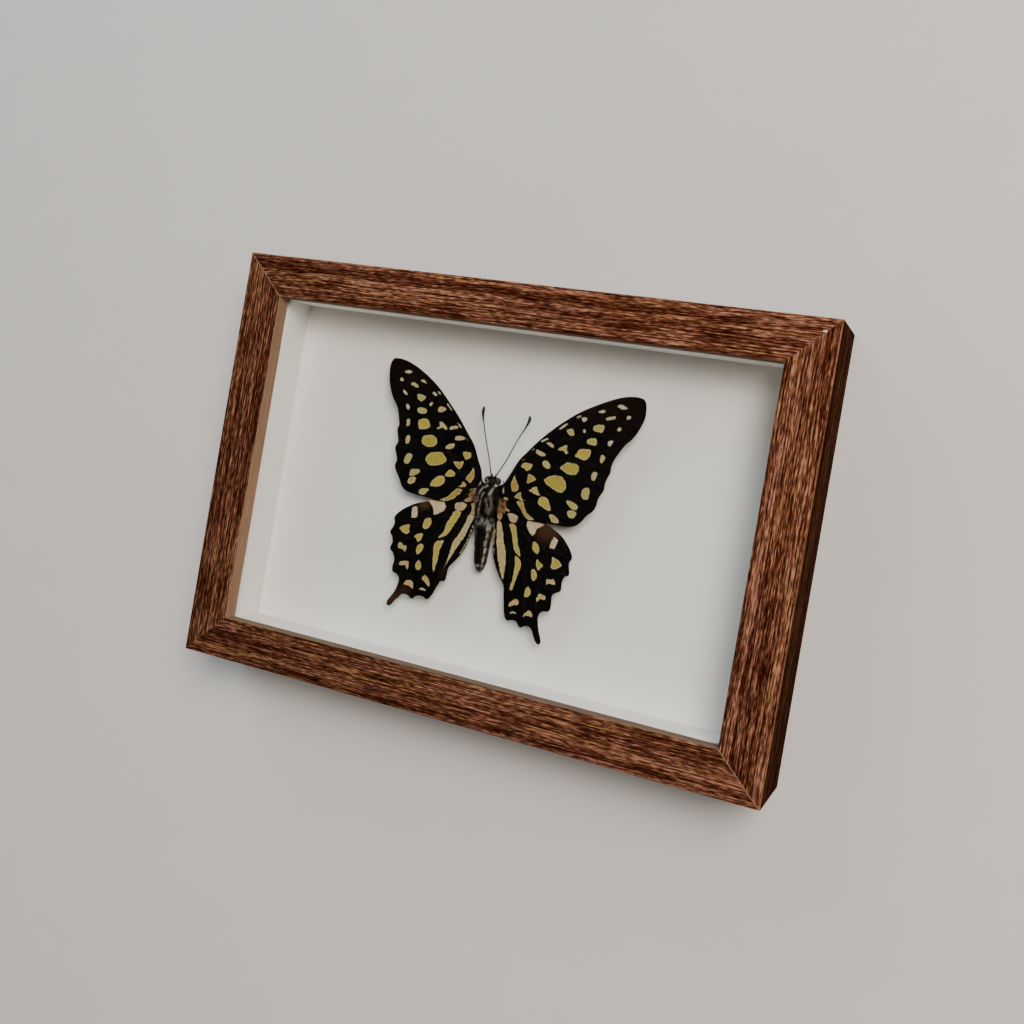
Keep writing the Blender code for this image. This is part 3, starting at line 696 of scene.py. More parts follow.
markings["forewing_right"] = [
    "white 313,335 326,341 346,332 333,326 319,330",
    "white 344,303 348,312.5 358,311 358,304 349,299",
    "white 263,312 274,318 286,315 282,309 270,306",
    "cream 285,293 291,300 313,306 315,299 308,293 289,289",
    "white 322,266 327.5,276 338,276 339,272 331,263",
    "white 216,280 222,289 234,287.5 235,282 226,274",
    "pale 255,257 260,271 285,275 286,255 269,251",
    "white 226,252 230,257 236,250 234,243 227,245",
    "pale 178,246 197,250 204,237.5 200,229 186,232",
    "white 306,233 320,235 317,222 310,216 305,220",
    "pale 242,223 246,230 269,234 275,217 269,212 246,213",
    "cream 290,189 302,190 304,182 299,166 290,169",
    "yellow 216,177 223,192 233,199 259,199 260,182 252,167.5 233,167.5 217.5,171",
    "pale 160,184 176,197.5 189,203 190,187.5 196,182 188,173 179,182 162,181",
    "cream 124,198 133,202 150,194 149,185 138,189 126,194",
    "cream 96,166 102.5,174 128,166 122,155 106,159",
    "green 178,134 190,149 208,154 229,151 236,139 227,120 204,119 185,126",
    "cream 274,137 288,139 289,127 285,113 276,115 272.5,123",
    "pale 122.5,142 133,148 147,139 149,127 140,123 125,129",
    "yellow 60,121 67,130 93,130 92.5,116 79,105 73,111 61,115",
    "green 136,89 147,103 165,110 186,110 199,100 206,82 197,63 176,65 147,77",
    "amber 84,98 94,100 113,91 107,82 86,70 85,82",
    "pale 251,74 256,87 274,91 277,64 272,54 256,59",
    "amber 45,89 52.5,77 65,50 47,39 40,50 37,64 40,79",
    "yellow 96,54 108,64 119,67.5 124,57 135,43 126,42 101,49",
    "yellow 128,24 131,37 144,44 159,37 168,21 173,5 154,7.5 136,15",
    "pale 211,42.5 222,46 247,37 249,24 236,20 219,32",
    "pale 220,14 226,19 247,17.5 247,2 236,-5 224,0",
    "pale 168,-6 183,-3 200,-14 199,-26 183,-28 174,-18",
    "amber 55,27 67,42 75,41 77.5,27 89,21 88,18 62,22",
    "amber 64,14 82.5,18 88,12 101,-11 127.5,-28 111,-33 94,-25 76,-4",
    "grey 15,50 20,48 22,31 15,29",
    "orange 20,16 33,21 41,7 29,3",
    "dash 203,286 212,292 214,289 205,283",
    "dash 157,245 176,263 179,260 159,242",
    "dash 110,202 125,211 127,208 112,198",
    "grey 81,167 91,177 93,174 83,164",
    "grey 59,135 66,143 68,140 61,132"]
markings["hindwing_left"] = [
    "fringe -55,-80 -60,-106 -69,-141 -82,-173 -85,-172 -73,-140 -63.5,-105 -58.5,-80",
    "pink -212.5,-31 -181,-29 -159,-30 -153,-39 -153,-52 -166,-65 -186,-75 -189,-70 -191,-58 "
    "-200,-46",
    "pink -260,-66 -244,-58 -239,-72 -239,-92 -256,-97 -259,-91",
    "yellow -217,-111 -212,-91 -194,-85 -188,-100 -194,-115 -206,-123 -215,-120",
    "yellow -292,-133 -275,-122 -257,-116 -257,-131 -255,-143 -267,-150 -282.5,-143",
    "yellow -237.5,-150 -228,-140 -211,-135 -211,-150 -221,-167 -229,-158",
    "yellow -225,-187.5 -220,-172 -209,-166 -201,-171 -203,-187.5 -216,-202.5 -222,-197",
    "peach -288,-187.5 -284,-178 -275,-176 -267,-183 -257,-182 -255,-191 -261,-204 -267,-197 "
    "-284,-195",
    "peach -272,-238 -265,-232 -244,-226 -239,-237.5 -239,-250 -245,-256 -248,-248 -253,-242.5 "
    "-270,-246",
    "yellow -219,-237.5 -217,-225 -208,-216 -200,-225 -197,-239 -205,-249 -215,-245",
    "peach -246,-298 -240,-286 -228,-282 -216,-287.5 -213,-306 -217,-309 -225,-302 -242,-301",
    "peach -191,-272 -187,-260 -178,-258 -166,-269 -160,-286 -166,-290 -178,-280",
    "pink -195,-306 -190,-297 -177,-297 -169,-302.5 -172,-307.5 -186,-304",
    "dusky -125,-27 -103,-19 -86,-24 -91,-37.5 -101,-47 -120,-47",
    "yellow -120,-48 -101,-49 -103,-62.5 -112.5,-84 -123,-109 -134,-126 -150,-137 -162,-142 "
    "-162.5,-138 -147,-117.5 -141,-91 -131,-67",
    "yellow -170,-160 -162,-149 -141,-142 -140,-150 -147,-172 -149,-200 -152,-225 -155,-245 "
    "-162,-234 -167,-203 -169,-178",
    "cream -78,-54 -58,-52 -60,-66 -69,-91 -78,-122 -91,-147 -103,-175 -116,-203 -127,-234 "
    "-130,-233 -122,-206 -117,-175 -112,-141 -100,-119 -87.5,-87.5 -81,-69",
    "orange -74,-19 -61,-8 -59,-31 -58,-49 -74,-51 -70,-37.5",
    "orange -100,-12.5 -84,-1 -75,-1 -77,-11 -87.5,-18"]
markings["hindwing_right"] = [
    "fringe 11.5,-82 14,-119 20,-150 23,-149 17.5,-118 15,-82",
    "pink 108,-36 125,-34 157.5,-35 160,-41 144,-52 137.5,-67 133,-77 123,-73 110,-56 107,-45",
    "pink 197,-66 211,-74 206,-89 203,-101 187,-100 189,-83 192.5,-71",
    "yellow 135,-94 141,-90 153,-97 160,-112.5 156,-126 147,-123 136,-112.5",
    "yellow 199,-124 216,-128 232,-142 225,-153 209,-160 199,-153 200,-137.5",
    "yellow 154,-144 161,-141 179,-155 172,-165 166,-173 157,-162.5",
    "yellow 144,-175 152,-169 162,-178 166,-191 156,-206 147,-194",
    "peach 194,-189 206,-189 214,-184 224,-198 219,-203 203,-202 198,-210 194,-203",
    "peach 174,-247 180,-236 198,-238 202,-247 200,-253 187.5,-252 182,-256 177,-266 173,-256",
    "yellow 135,-237.5 138,-227 145,-223 153,-233 154,-247 144,-256 136,-253",
    "peach 142,-312.5 149,-297 158,-289 168,-294 172,-307.5 162.5,-308 153,-308 144,-315",
    "peach 93,-289 100,-275 116,-266 125,-275 120,-284 106,-289 96,-296",
    "pink 102,-309 109,-303 120,-304 123,-311 112.5,-310 103,-313",
    "dusky 42.5,-28 53,-22.5 78,-28 75,-46 66,-51 57,-49 50,-41",
    "yellow 53,-55 73,-53 84,-78 91,-106 100,-125 106,-142 100,-143 85,-134 75,-112.5 66,-84 "
    "57,-66",
    "yellow 87,-143 100,-147 109,-155 113,-169 109,-187.5 103,-219 98,-245 92.5,-248 88,-241 "
    "91,-219 92,-194 91,-169 87.5,-153",
    "cream 16,-52 27,-54 37.5,-75 47,-109 58,-137.5 64,-169 65,-200 66,-229 59,-219 44,-184 "
    "35,-162.5 27,-131 21,-100 15,-69",
    "orange 10,-19 22,-10 28,-22 28,-47 16,-49 11,-34",
    "orange 31,-8 49,-16 44,-23 32,-18"]

# Veins of the left wings; the right ones are turned over to match
veins = {
    "fore": [
        "-42,45 -64,85 -98,152 -153,219 -231,298 -302,348 -380,375",
        "-45,35 -90,118 -140,190 -210,263 -275,318",
        "-46,30 -100,102 -148,180 -194,218 -230,264 -295,328",
        "-50,25 -93,38 -132,68 -170,116 -203,162 -228,208 -214,224 -190,216",
        "-125,63 -180,60 -240,59 -336,49",
        "-170,116 -220,121 -270,116 -344,110",
        "-203,162 -230,169 -280,166 -349,164",
        "-224,202 -250,214 -290,212 -354,209",
        "-227,215 -255,245 -305,251 -375,246",
        "-218,223 -266,272 -315,291 -355,296 -400,300",
        "-266,272 -300,312 -338,325 -408,346",
        "-50,22 -95,21 -134,20 -172,6 -220,5 -265,1 -306,-4"],
    "hind": [
        "-60,8 -133,-12 -217,-40 -277,-68 -312,-106",
        "-50,-15 -90,-60 -105,-92 -120,-126 -131,-170 -139,-225 -146,-285",
        "-50,-10 -126,-49 -150,-90 -173,-136 -183,-200 -194,-250 -206,-320",
        "-173,-136 -196,-150 -232,-206 -235,-266 -258,-325 -284,-364",
        "-208,-167 -244,-208 -270,-217 -302,-220",
        "-176,-86 -210,-129 -244,-159 -275,-164 -316,-168",
        "-150,-70 -202,-80 -232,-107 -270,-110 -315,-114",
        "-110,-30 -199,-70 -226,-58 -270,-64",
        "-150,-70 -176,-86 -173,-136"],
}


def unit(values):
    return np.clip(values, 0.0, 1.0)


def readPoints(text):
    return [tuple(float(value) / 10 for value in pair.split(",")) for pair in text.split()]


def roundedLoop(points, steps=4):
    # a closed smooth curve through the corners
    points = np.array(points, float)
    before, after = np.roll(points, 1, axis=0), np.roll(points, -1, axis=0)
    beyond = np.roll(points, -2, axis=0)
    loop = []
    for step in range(steps):
        t = step / steps
        loop.append(0.5 * (2 * points + (after - before) * t
                           + (2 * before - 5 * points + 4 * after - beyond) * t * t
                           + (3 * points - before - 3 * after + beyond) * t ** 3))
    return np.stack(loop, axis=1).reshape(-1, 2)


def lineDistance(spots, start, end):
    along = end - start
    share = ((spots - start) @ along) / max(float(along @ along), 1e-12)
    nearest = start + unit(share)[:, None] * along
    return np.linalg.norm(spots - nearest, axis=1)


def loopDistance(spots, loop):
    # distance to a closed loop, negative inside it
    best = np.full(len(spots), 1e9)
    within = np.zeros(len(spots), bool)
    for start, end in zip(loop, np.roll(loop, -1, axis=0)):
        best = np.minimum(best, lineDistance(spots, start, end))
        crosses = (start[1] > spots[:, 1]) != (end[1] > spots[:, 1])
        reach = (end[0] - start[0]) * (spots[:, 1] - start[1])
        reach = reach / (end[1] - start[1] if end[1] != start[1] else 1e-12) + start[0]
        within ^= crosses & (spots[:, 0] < reach)
    return np.where(within, -best, best)


def pathDistance(spots, paths):
    best = np.full(len(spots), 9.0)
    for path in paths:
        path = np.array(path, float)
        for start, end in zip(path[:-1], path[1:]):
            best = np.minimum(best, lineDistance(spots, start, end))
    return best


def turnedOver(paths, foldLeft, foldRight, scale, lower):
    return [[(foldRight - (x - foldLeft) * scale, y - lower) for x, y in path] for path in paths]


def placesOf(mesh):
    places = np.empty(len(mesh.vertices) * 3)
    mesh.vertices.foreach_get("co", places)
    return places.reshape(-1, 3)


def newObject(name, data):
    item = bpy.data.objects.new(name, data)
    bpy.context.scene.collection.objects.link(item)
    return item


def newCurve(name, kind, smooth, places):
    curve = bpy.data.curves.new(name, "CURVE")
    curve.dimensions = kind
    curve.resolution_u = smooth
    line = curve.splines.new("BEZIER")
    line.bezier_points.add(len(places) - 1)
    for point, place in zip(line.bezier_points, places):
        point.co = [value * mm for value in place]
        point.handle_left_type = point.handle_right_type = "AUTO"
    return curve, line


def meshFrom(name, curve):
    pick(newObject(name, curve))
    bpy.ops.object.convert(target="MESH")
    return bpy.context.object


def setAttribute(mesh, name, kind, values):
    made = mesh.attributes.new(name, kind, "POINT")
    made.data.foreach_set("color" if kind == "FLOAT_COLOR" else "value",
                          np.ascontiguousarray(values, np.float32).ravel())


def withAlpha(colours):
    return np.concatenate([colours, np.ones((len(colours), 1))], axis=1)


def wingHeight(x, root, rise):
    share = np.minimum(np.abs(x - bodyX) / wings["span"], 1.1)
    return root + rise * share + wings["camber"] * np.sin(np.pi * share)


def outlinePrism(name, outline, low, high):
    # the wing's edge as a closed curve through its corners, made a block
    curve, edge = newCurve(name, "2D", 5, [(x, y, 0.0) for x, y in outline])
    curve.fill_mode = "BOTH"
    curve.extrude = (high - low) / 2 * mm
    edge.use_cyclic_u = True
    item = meshFrom(name, curve)
    item.location.z = (low + high) / 2 * mm
    applyPlace(item)
    return tidyNormals(item)


def groundTint(spots, fore):
    # black, browner towards the tips and along the outer edge
    black, apex, brown = (np.array(wings[key]) for key in ("black", "apex", "brown"))
    if fore:
        share = unit((spots[:, 1] - 24.0) / 9.0)
        share = np.maximum(share, unit((np.abs(spots[:, 0] + 0.6) - 30.0) / 6.0) * 0.7)
        return black + (apex - black) * share[:, None]
    share = np.zeros(len(spots))
    for x, y, reach, depth in wings["brownPatches"]:
        near = 1.0 - np.linalg.norm(spots - np.array((x, y)), axis=1) / reach
        share = np.maximum(share, unit(near * 1.5) * depth)
    return black + (brown - black) * share[:, None]


def makeWing(name, paths, kind, shift):
    outline, root, rise = readPoints(outlines[name]), wings[kind + "Root"], wings[kind + "Rise"]
    low, high = np.min(outline, axis=0), np.max(outline, axis=0)
    sizeX, sizeY = (high - low + 2).tolist()
    clearSelection()
    bpy.ops.mesh.primitive_grid_add(
        x_subdivisions=int(sizeX / wings["grid"]), y_subdivisions=int(sizeY / wings["grid"]),
        size=1.0, location=(*((low + high) / 2 * mm), 0.0))
    item = bpy.context.object
    item.name = name
    item.scale = (sizeX * mm, sizeY * mm, 1.0)
    applyPlace(item)
    flat = placesOf(item.data)
    spots = flat[:, :2] / mm
    fold = unit(pathDistance(spots, paths) / wings["fluteWidth"])
    height = wingHeight(spots[:, 0], root, rise) - wings["flute"] * np.sin(fold * np.pi / 2)
    height += 0.10 * np.sin(spots[:, 0] * 0.42 + 1.3) * np.sin(spots[:, 1] * 0.37)
    flat[:, 2] = height * mm
    item.data.vertices.foreach_set("co", flat.ravel())
    item.data.update()
    modify(item, "SOLIDIFY", thickness=wings["thickness"] * mm, offset=0.0)
    combine(item, outlinePrism(name + "Edge", outline, root - 4, root + 4), "INTERSECT")
    tidyNormals(item)
    mesh = item.data
    spots = placesOf(mesh)[:, :2] / mm
    nearest = np.full(len(spots), 1.5)
    colours = np.tile(np.array(tints["yellow"]), (len(spots), 1))
    for marking in markings[name]:
        tint, corners = marking.split(maxsplit=1)
        loop = roundedLoop(readPoints(corners)) + np.array((shift, 0.0))
        close = np.all((spots > loop.min(0) - 1.5) & (spots < loop.max(0) + 1.5), axis=1)
        index = np.nonzero(close)[0]
        if not len(index):
            continue
        away = loopDistance(spots[index], loop) - wings["widened"].get(tint, 0.0)
        better = away < nearest[index]
        nearest[index[better]] = away[better]
        colours[index[better]] = tints[tint]
    setAttribute(mesh, "spotEdge", "FLOAT", nearest)
    setAttribute(mesh, "spotTint", "FLOAT_COLOR", withAlpha(colours))
    setAttribute(mesh, "groundTint", "FLOAT_COLOR", withAlpha(groundTint(spots, kind == "fore")))
    setAttribute(mesh, "veinEdge", "FLOAT", pathDistance(spots, paths))
    return smoothBy(item, 45)


def attributeNode(made, name):
    return addNode("ShaderNodeAttribute", {}, made.node_tree, attribute_name=name,
                   attribute_type="GEOMETRY").outputs


def wingMaterial():
    made, shader, where = newMaterial("wingScales", Roughness=0.6, Specular_IOR_Level=0.03)
    edge = attributeNode(made, "spotEdge")["Fac"]
    vein = attributeNode(made, "veinEdge")["Fac"]
    scales = useGroup("scaleRows", {"Vector": where, "Size": 9000.0})
    # the spots' edges are uneven, their rims paler and their insides speckled
    ragged = noise(where, 1700.0, 3.0, 0.65)
    bent = maths("MULTIPLY_ADD", maths("SUBTRACT", ragged, 0.5), wings["ragged"], edge)
    inSpot = spread(bent, *wings["spotEdge"])
    rim = spread(bent, *wings["rimEdge"])
    speck = spread(noise(where, 1100.0, 4.0, 0.7), *wings["specks"])
    powder = spread(noise(where, 1500.0, 3.0, 0.6), *wings["powder"])
    grain = maths("MULTIPLY", powder, spread(scales["Mask"], 0.0, 1.0, 0.88, 1.08))
    tone = grey(grain)
    bright = mixColour(rim, attributeNode(made, "spotTint")["Color"], (*tints["rim"], 1.0))
    bright = mixColour(speck, bright, (*tints["speck"], 1.0))
    bright = multiplied(bright, tone)
    ground = multiplied(attributeNode(made, "groundTint")["Color"], tone)
    ridge = spread(vein, 0.0, wings["veinWidth"], 1.0, 0.0)
    ground = mixColour(maths("MULTIPLY", ridge, wings["veinShare"]), ground, wings["veinTint"])
    plug(shader.inputs, Base_Color=mixColour(inSpot, ground, bright),
         Roughness=spread(scales["Mask"], 0.0, 1.0, 0.5, 0.72))
    height = maths("MULTIPLY_ADD", ridge, 1.6, scales["Height"])
    bumped(shader, height, 0.03 * mm, 0.8)
    return made


wingFinish = wingMaterial()
for kind, foldLeft, foldRight, scale, lower, shift in (
        ("fore", -3.6, -0.8, 1.085, 1.0, 0.0),
        ("hind", -4.0, -1.0, 0.93, 0.3, wings["hindShift"])):
    paths = [readPoints(path) for path in veins[kind]]
    for side in ("left", "right"):
        name = kind + "wing_" + side
        item = makeWing(name, paths, kind, shift)
        finishPiece(item, wingFinish, [name])
        paths = turnedOver(paths, foldLeft, foldRight, scale, lower)
print("wings done")


# Body, with its fur, eyes, antennae and legs

body = {
    "thorax": (-2.6, 0.3, 15.85), "thoraxSize": (3.3, 5.0, 3.2),
    "head": (-2.45, 5.9, 15.3), "headSize": (1.68, 1.36, 1.6),
    "eyeSide": 1.65, "eyeSize": (0.92, 1.15, 1.32),
    "abdomenFront": (-3.05, -2.0, 15.3), "abdomenTip": (-2.3, -21.4, 14.2),
    # half width of the abdomen along its length
    "profile": [(0.0, 2.75), (0.35, 2.60), (0.57, 2.15), (0.70, 1.97), (0.83, 1.75),
                (0.90, 1.42), (0.94, 1.05), (0.97, 0.60), (1.0, 0.30)],
    "segments": 8, "voxel": 0.14,
    "black": (0.0030, 0.0025, 0.0022), "grey": (0.42, 0.385, 0.33),
    "pale": (0.62, 0.53, 0.42), "brown": (0.090, 0.050, 0.028),
    "furBrown": (0.26, 0.205, 0.145), "rust": (0.40, 0.15, 0.070),
    "rootPink": (0.44, 0.28, 0.15), "rootAmber": (0.40, 0.22, 0.070),
    "horn": (0.004, 0.0035, 0.003, 1.0), "hornLight": (0.016, 0.012, 0.010, 1.0),
    "eye": (0.040, 0.024, 0.015, 1.0), "eyeDark": (0.012, 0.007, 0.005, 1.0),
    "neck": (-2.5, 4.6, 15.4), "neckSize": (1.9, 1.6, 1.7),
    "palp": (-2.45, 7.15, 15.2), "palpRoot": 0.5, "palpTip": 0.16, "palpLength": 2.2,
    "shoulderSide": 2.3, "shoulderY": 2.4, "shoulderZ": 17.4, "shoulderSize": (1.0, 2.1, 0.9),
}
# pale lines of the thorax and head: half width, tint, and points
thoraxLines = [
    (0.26, "grey", [(-3.0, 4.4), (-4.2, 3.5), (-4.9, 1.9), (-5.1, -0.4)]),
    (0.20, "grey", [(-3.3, 2.4), (-3.8, 0.5), (-4.0, -2.0), (-4.3, -5.2)]),
    (0.34, "pale", [(-0.8, 5.3), (-1.0, 3.6), (-1.7, 2.2)]),
    (0.22, "pale", [(-4.2, 5.0), (-3.4, 5.6)]),
    (0.20, "furBrown", [(-1.9, 2.2), (-0.9, 0.8), (-0.7, -1.4), (-1.4, -3.6)]),
    (0.18, "furBrown", [(-2.4, 0.6), (-1.7, -1.2), (-2.0, -3.2)])]


def abdomenRadius(share):
    places, sizes = zip(*body["profile"])
    ring = 0.05 * (0.5 + 0.5 * math.cos(2 * math.pi * share * body["segments"])) ** 3
    return float(np.interp(share, places, sizes)) * (1 - ring)


def makeAbdomen():
    front, tip = Vector(body["abdomenFront"]), Vector(body["abdomenTip"])
    length = (front - tip).length
    item = addBall("abdomen", (0, 0, 0), (1, 1, 1), segments=40, rings=110)
    for vertex in item.data.vertices:
        height = vertex.co.z / mm                     # 1 at the front, -1 at the tip
        share = min(max((1 - height) / 2, 0.0), 1.0)
        flat = Vector((vertex.co.x, vertex.co.y)).length / mm
        wide = abdomenRadius(share) * mm
        end = min(1.0, flat * 3.0)                    # closes both ends round
        scale = wide * end / (flat * mm) if flat > 1e-6 else 0.0
        vertex.co = (vertex.co.x * scale, vertex.co.y * scale, (1 - share) * length * mm)
    item.location = tip * mm
    item.rotation_euler = (front - tip).to_track_quat("Z", "Y").to_euler()
    return applyPlace(item)


def joined(items, name):
    clearSelection()
    for item in items:
        item.select_set(True)
    bpy.context.view_layer.objects.active = items[0]
    bpy.ops.object.join()
    made = bpy.context.object
    made.name = name
    return made


def tuftShade(places):
    # light and dark tufts: one random shade for each small patch, longer along the body
    column = np.floor(places[:, 0] / 0.34)
    row = np.floor(places[:, 1] / 1.05 + 0.37 * column)
    mixed = np.sin(column * 12.9898 + row * 78.233) * 43758.5453
    return mixed - np.floor(mixed)


def bodyTint(places):
    # colour of the scales and hairs at each place, from the pattern seen from above
    x, y, z = places[:, 0], places[:, 1], places[:, 2]
    flat = places[:, :2]
    colour = np.tile(np.array(body["black"]), (len(places), 1))
    tuft = unit((tuftShade(places) - 0.35) / 0.3)

    def lay(mask, tint):
        colour[:] = colour + (np.array(body[tint]) - colour) * unit(mask)[:, None]

    patch = 1.3 - ((x + 1.2) / 1.1) ** 2 - ((y + 0.8) / 3.3) ** 2
    lay(unit(patch) * tuft * 0.75, "furBrown")
    lay(unit((x - 0.2) / 0.4) * (y < 2.5) * tuft * 0.6, "brown")
    for half, tint, path in thoraxLines:
        away = pathDistance(flat, [path])
        lay(unit((half - away) / 0.16 + 0.5) * (z > 15.4) * (0.8 + 0.2 * tuft), tint)
    band = unit((-4.6 - y) / 0.7) * unit((y + 7.9) / 0.7)
    lay(band * tuft * 0.7, "grey")
    along = unit((-2.0 - y) / 19.4)
    middle = -3.05 + 0.75 * along
    centre = 15.3 - 1.1 * along
    angle = np.degrees(np.arctan2(np.abs(x - middle), z - centre))
    angle = angle + 14 * (tuftShade(places + 3.1) - 0.5)
    outer = 76 - 26 * along
    behind = unit((-7.2 - y) / 0.8)
    joint = np.cos(2 * np.pi * (along * body["segments"] + angle / 260))
    gap = unit((joint - 0.55) / 0.3)
    flank = unit((angle - 33) / 6) * unit((outer - angle) / 6)
    # painted shade: the pale flanks are dimmed on the left side of the abdomen, most towards the
    # tip
    leftShade = np.where(x < middle, np.clip(0.55 - along, 0.08, 1), 1.0)
    lay(flank * behind * (0.45 + 0.55 * tuft) * (1 - 0.8 * gap) * leftShade, "pale")
    lay(unit((angle - outer) / 8) * behind * (0.3 + 0.7 * tuft), "brown")
    lay(unit((-18.9 - y) / 0.3) * unit((y + 19.9) / 0.3) * tuft * 0.8, "grey")
    lay(unit((-20.0 - y) / 0.5) * 0.8, "brown")
    lay(unit((14.6 - z) / 0.8) * (y > -6) * 0.8, "furBrown")
    return colour


def makeBody():
    parts = [addBall("thorax", body["thorax"], body["thoraxSize"], 48, 32),
             makeAbdomen(),
             addBall("head", body["head"], body["headSize"], 32, 24),
             addBall("neck", body["neck"], body["neckSize"], 24, 16)]
    x, y, z = body["palp"]
    for side in (-1, 1):                              # palps in front of the face
        clearSelection()
        bpy.ops.mesh.primitive_cone_add(
            vertices=16, radius1=body["palpRoot"] * mm, radius2=body["palpTip"] * mm,
            depth=body["palpLength"] * mm,
            location=((x + side * 0.5) * mm, y * mm, z * mm),
            rotation=(-math.pi / 2, 0.0, side * -0.15))
        parts.append(applyPlace(bpy.context.object))
    for side in (-1, 1):                              # shoulder plates over the wing roots
        parts.append(addBall("shoulder", (bodyX + side * body["shoulderSide"],
                                          body["shoulderY"], body["shoulderZ"]),
                             body["shoulderSize"]))
    item = joined(parts, "body")
    modify(item, "REMESH", mode="VOXEL", voxel_size=body["voxel"] * mm)
    modify(item, "SMOOTH", factor=0.5, iterations=6)
    applyModifiers(item)
    tidyNormals(item)
    setAttribute(item.data, "bodyTint", "FLOAT_COLOR",
                 withAlpha(bodyTint(placesOf(item.data) / mm)))
    return smoothBy(item, 180)


def hairMesh(name, roots, tips, widths, colours):
    # thin three-sided hairs, bent once, each with the tint of its root
    roots, tips = np.array(roots), np.array(tips)
    along = tips - roots
    length = np.linalg.norm(along, axis=1, keepdims=True)
    along = along / length
    helper = np.where(np.abs(along[:, 2:3]) > 0.9, np.array((1.0, 0, 0)), np.array((0, 0, 1.0)))
    side = np.cross(along, helper)
    side /= np.linalg.norm(side, axis=1, keepdims=True)
    other = np.cross(along, side)
    sag = np.zeros_like(roots)
    sag[:, 2] = fur["sag"] * length[:, 0]
    rings = []
    for share, wide in ((0.0, 1.0), (fur["bend"], fur["waist"])):
        middle = roots + (tips - roots) * share + sag * math.sin(math.pi * share)
        for turn in range(3):
            angle = 2 * math.pi * turn / 3
            rings.append(middle + (side * math.cos(angle) + other * math.sin(angle))
                         * (widths * wide)[:, None])
    points = np.stack(rings + [tips], axis=1)
    count = len(roots)
    faces = []
    for hair in range(count):
        start = hair * 7
        faces.append((start + 2, start + 1, start))
        for turn in range(3):
            a, b = start + turn, start + (turn + 1) % 3
            faces.append((a, b, b + 3, a + 3))
            faces.append((a + 3, b + 3, start + 6))
    mesh = bpy.data.meshes.new(name)
    mesh.from_pydata((points.reshape(-1, 3) * mm).tolist(), [], faces)
    item = newObject(name, mesh)
    setAttribute(mesh, "bodyTint", "FLOAT_COLOR", withAlpha(np.repeat(colours, 7, axis=0)))
    tidyNormals(item, 0.0)
    return item


fur = {
    "thoraxHairs": 5200, "abdomenHairs": 6500, "headHairs": 900, "rootHairs": 420,
    "thoraxLength": (0.6, 1.3), "abdomenLength": (0.35, 0.75), "headLength": (0.3, 0.6),
    "width": 0.034, "sag": 0.10, "bend": 0.55, "waist": 0.75,
    # where the hairs of the wing roots grow: side, and two corners
    "rootAreas": ((-1, (-8.2, -1.0), (-5.4, 2.6)), (1, (0.4, -2.4), (3.2, 1.8))),
}


def surfacePoints(item, count, keep, rng):
    mesh = item.data
    mesh.calc_loop_triangles()
    corners = np.empty(len(mesh.loop_triangles) * 3, int)
    mesh.loop_triangles.foreach_get("vertices", corners)
    tri = (placesOf(mesh) / mm)[corners.reshape(-1, 3)]
    normal = np.cross(tri[:, 1] - tri[:, 0], tri[:, 2] - tri[:, 0])
    area = np.linalg.norm(normal, axis=1)
    weight = area * keep(tri.mean(axis=1), normal / area[:, None])
    chosen = rng.choice(len(tri), count, p=weight / weight.sum())
    a, b = rng.random(count), rng.random(count)
    swap = a + b > 1
    a[swap], b[swap] = 1 - a[swap], 1 - b[swap]
    base = tri[chosen]
    spots = base[:, 0] + (base[:, 1] - base[:, 0]) * a[:, None] + (
        base[:, 2] - base[:, 0]) * b[:, None]
    return spots, normal[chosen] / area[chosen][:, None]


def makeFur(skin):
    rng = np.random.default_rng(7)
    roots, tips, widths, colours = [], [], [], []

    def grow(spots, ways, lengths, shades, wide=1.0):
        ways = ways / np.linalg.norm(ways, axis=1, keepdims=True)
        roots.append(spots)
        tips.append(spots + ways * lengths[:, None])
        widths.append(np.full(len(spots), fur["width"] * wide) * rng.uniform(0.7, 1.3, len(spots)))
        shade = rng.uniform(0.65, 1.35, (len(spots), 1))
        colours.append(unit(shades * shade))

    for count, area, lengths, lift in (
            ("thoraxHairs", (-5.8, 4.6), "thoraxLength", 0.55),
            ("abdomenHairs", (-21.5, -5.8), "abdomenLength", 0.22),
            ("headHairs", (4.6, 7.0), "headLength", 0.8)):
        count = fur[count]
        spots, normals = surfacePoints(
            skin, count, lambda p, n: ((p[:, 1] > area[0]) & (p[:, 1] < area[1])
                                       & (n[:, 2] > -0.8)) + 1e-9, rng)
        flow = np.zeros_like(spots)
        flow[:, 1] = 0.6 if area[1] > 5 else -1.0
        ways = normals * lift + flow * (1 - lift) + rng.normal(0, 0.16, spots.shape)
        size = rng.uniform(*fur[lengths], count)
        grow(spots, ways, size, bodyTint(spots + rng.normal(0, 0.05, spots.shape)))
    # rusty, pink and black hairs over the wing roots
    kinds = np.array([body[key] for key in ("rust", "rootAmber", "rootPink", "black", "black")])
    for side, low, high in fur["rootAreas"]:
        count = fur["rootHairs"] // 2
        x = rng.uniform(low[0], high[0], count)
        y = rng.uniform(low[1], high[1], count)
        z = wingHeight(x, wings["foreRoot"], wings["foreRise"]) + 0.02
        ways = np.stack([np.full(count, side * 0.6), np.full(count, -0.8),
                         np.full(count, 0.12)], axis=1) + rng.normal(0, 0.12, (count, 3))
        spots = np.stack([x, y, z], axis=1)
        kind = (tuftShade(spots) * len(kinds)).astype(int) % len(kinds)
        grow(spots, ways, rng.uniform(0.6, 1.3, count), kinds[kind], 1.5)
    return hairMesh("bodyFur", np.concatenate(roots), np.concatenate(tips),
                    np.concatenate(widths), np.concatenate(colours))


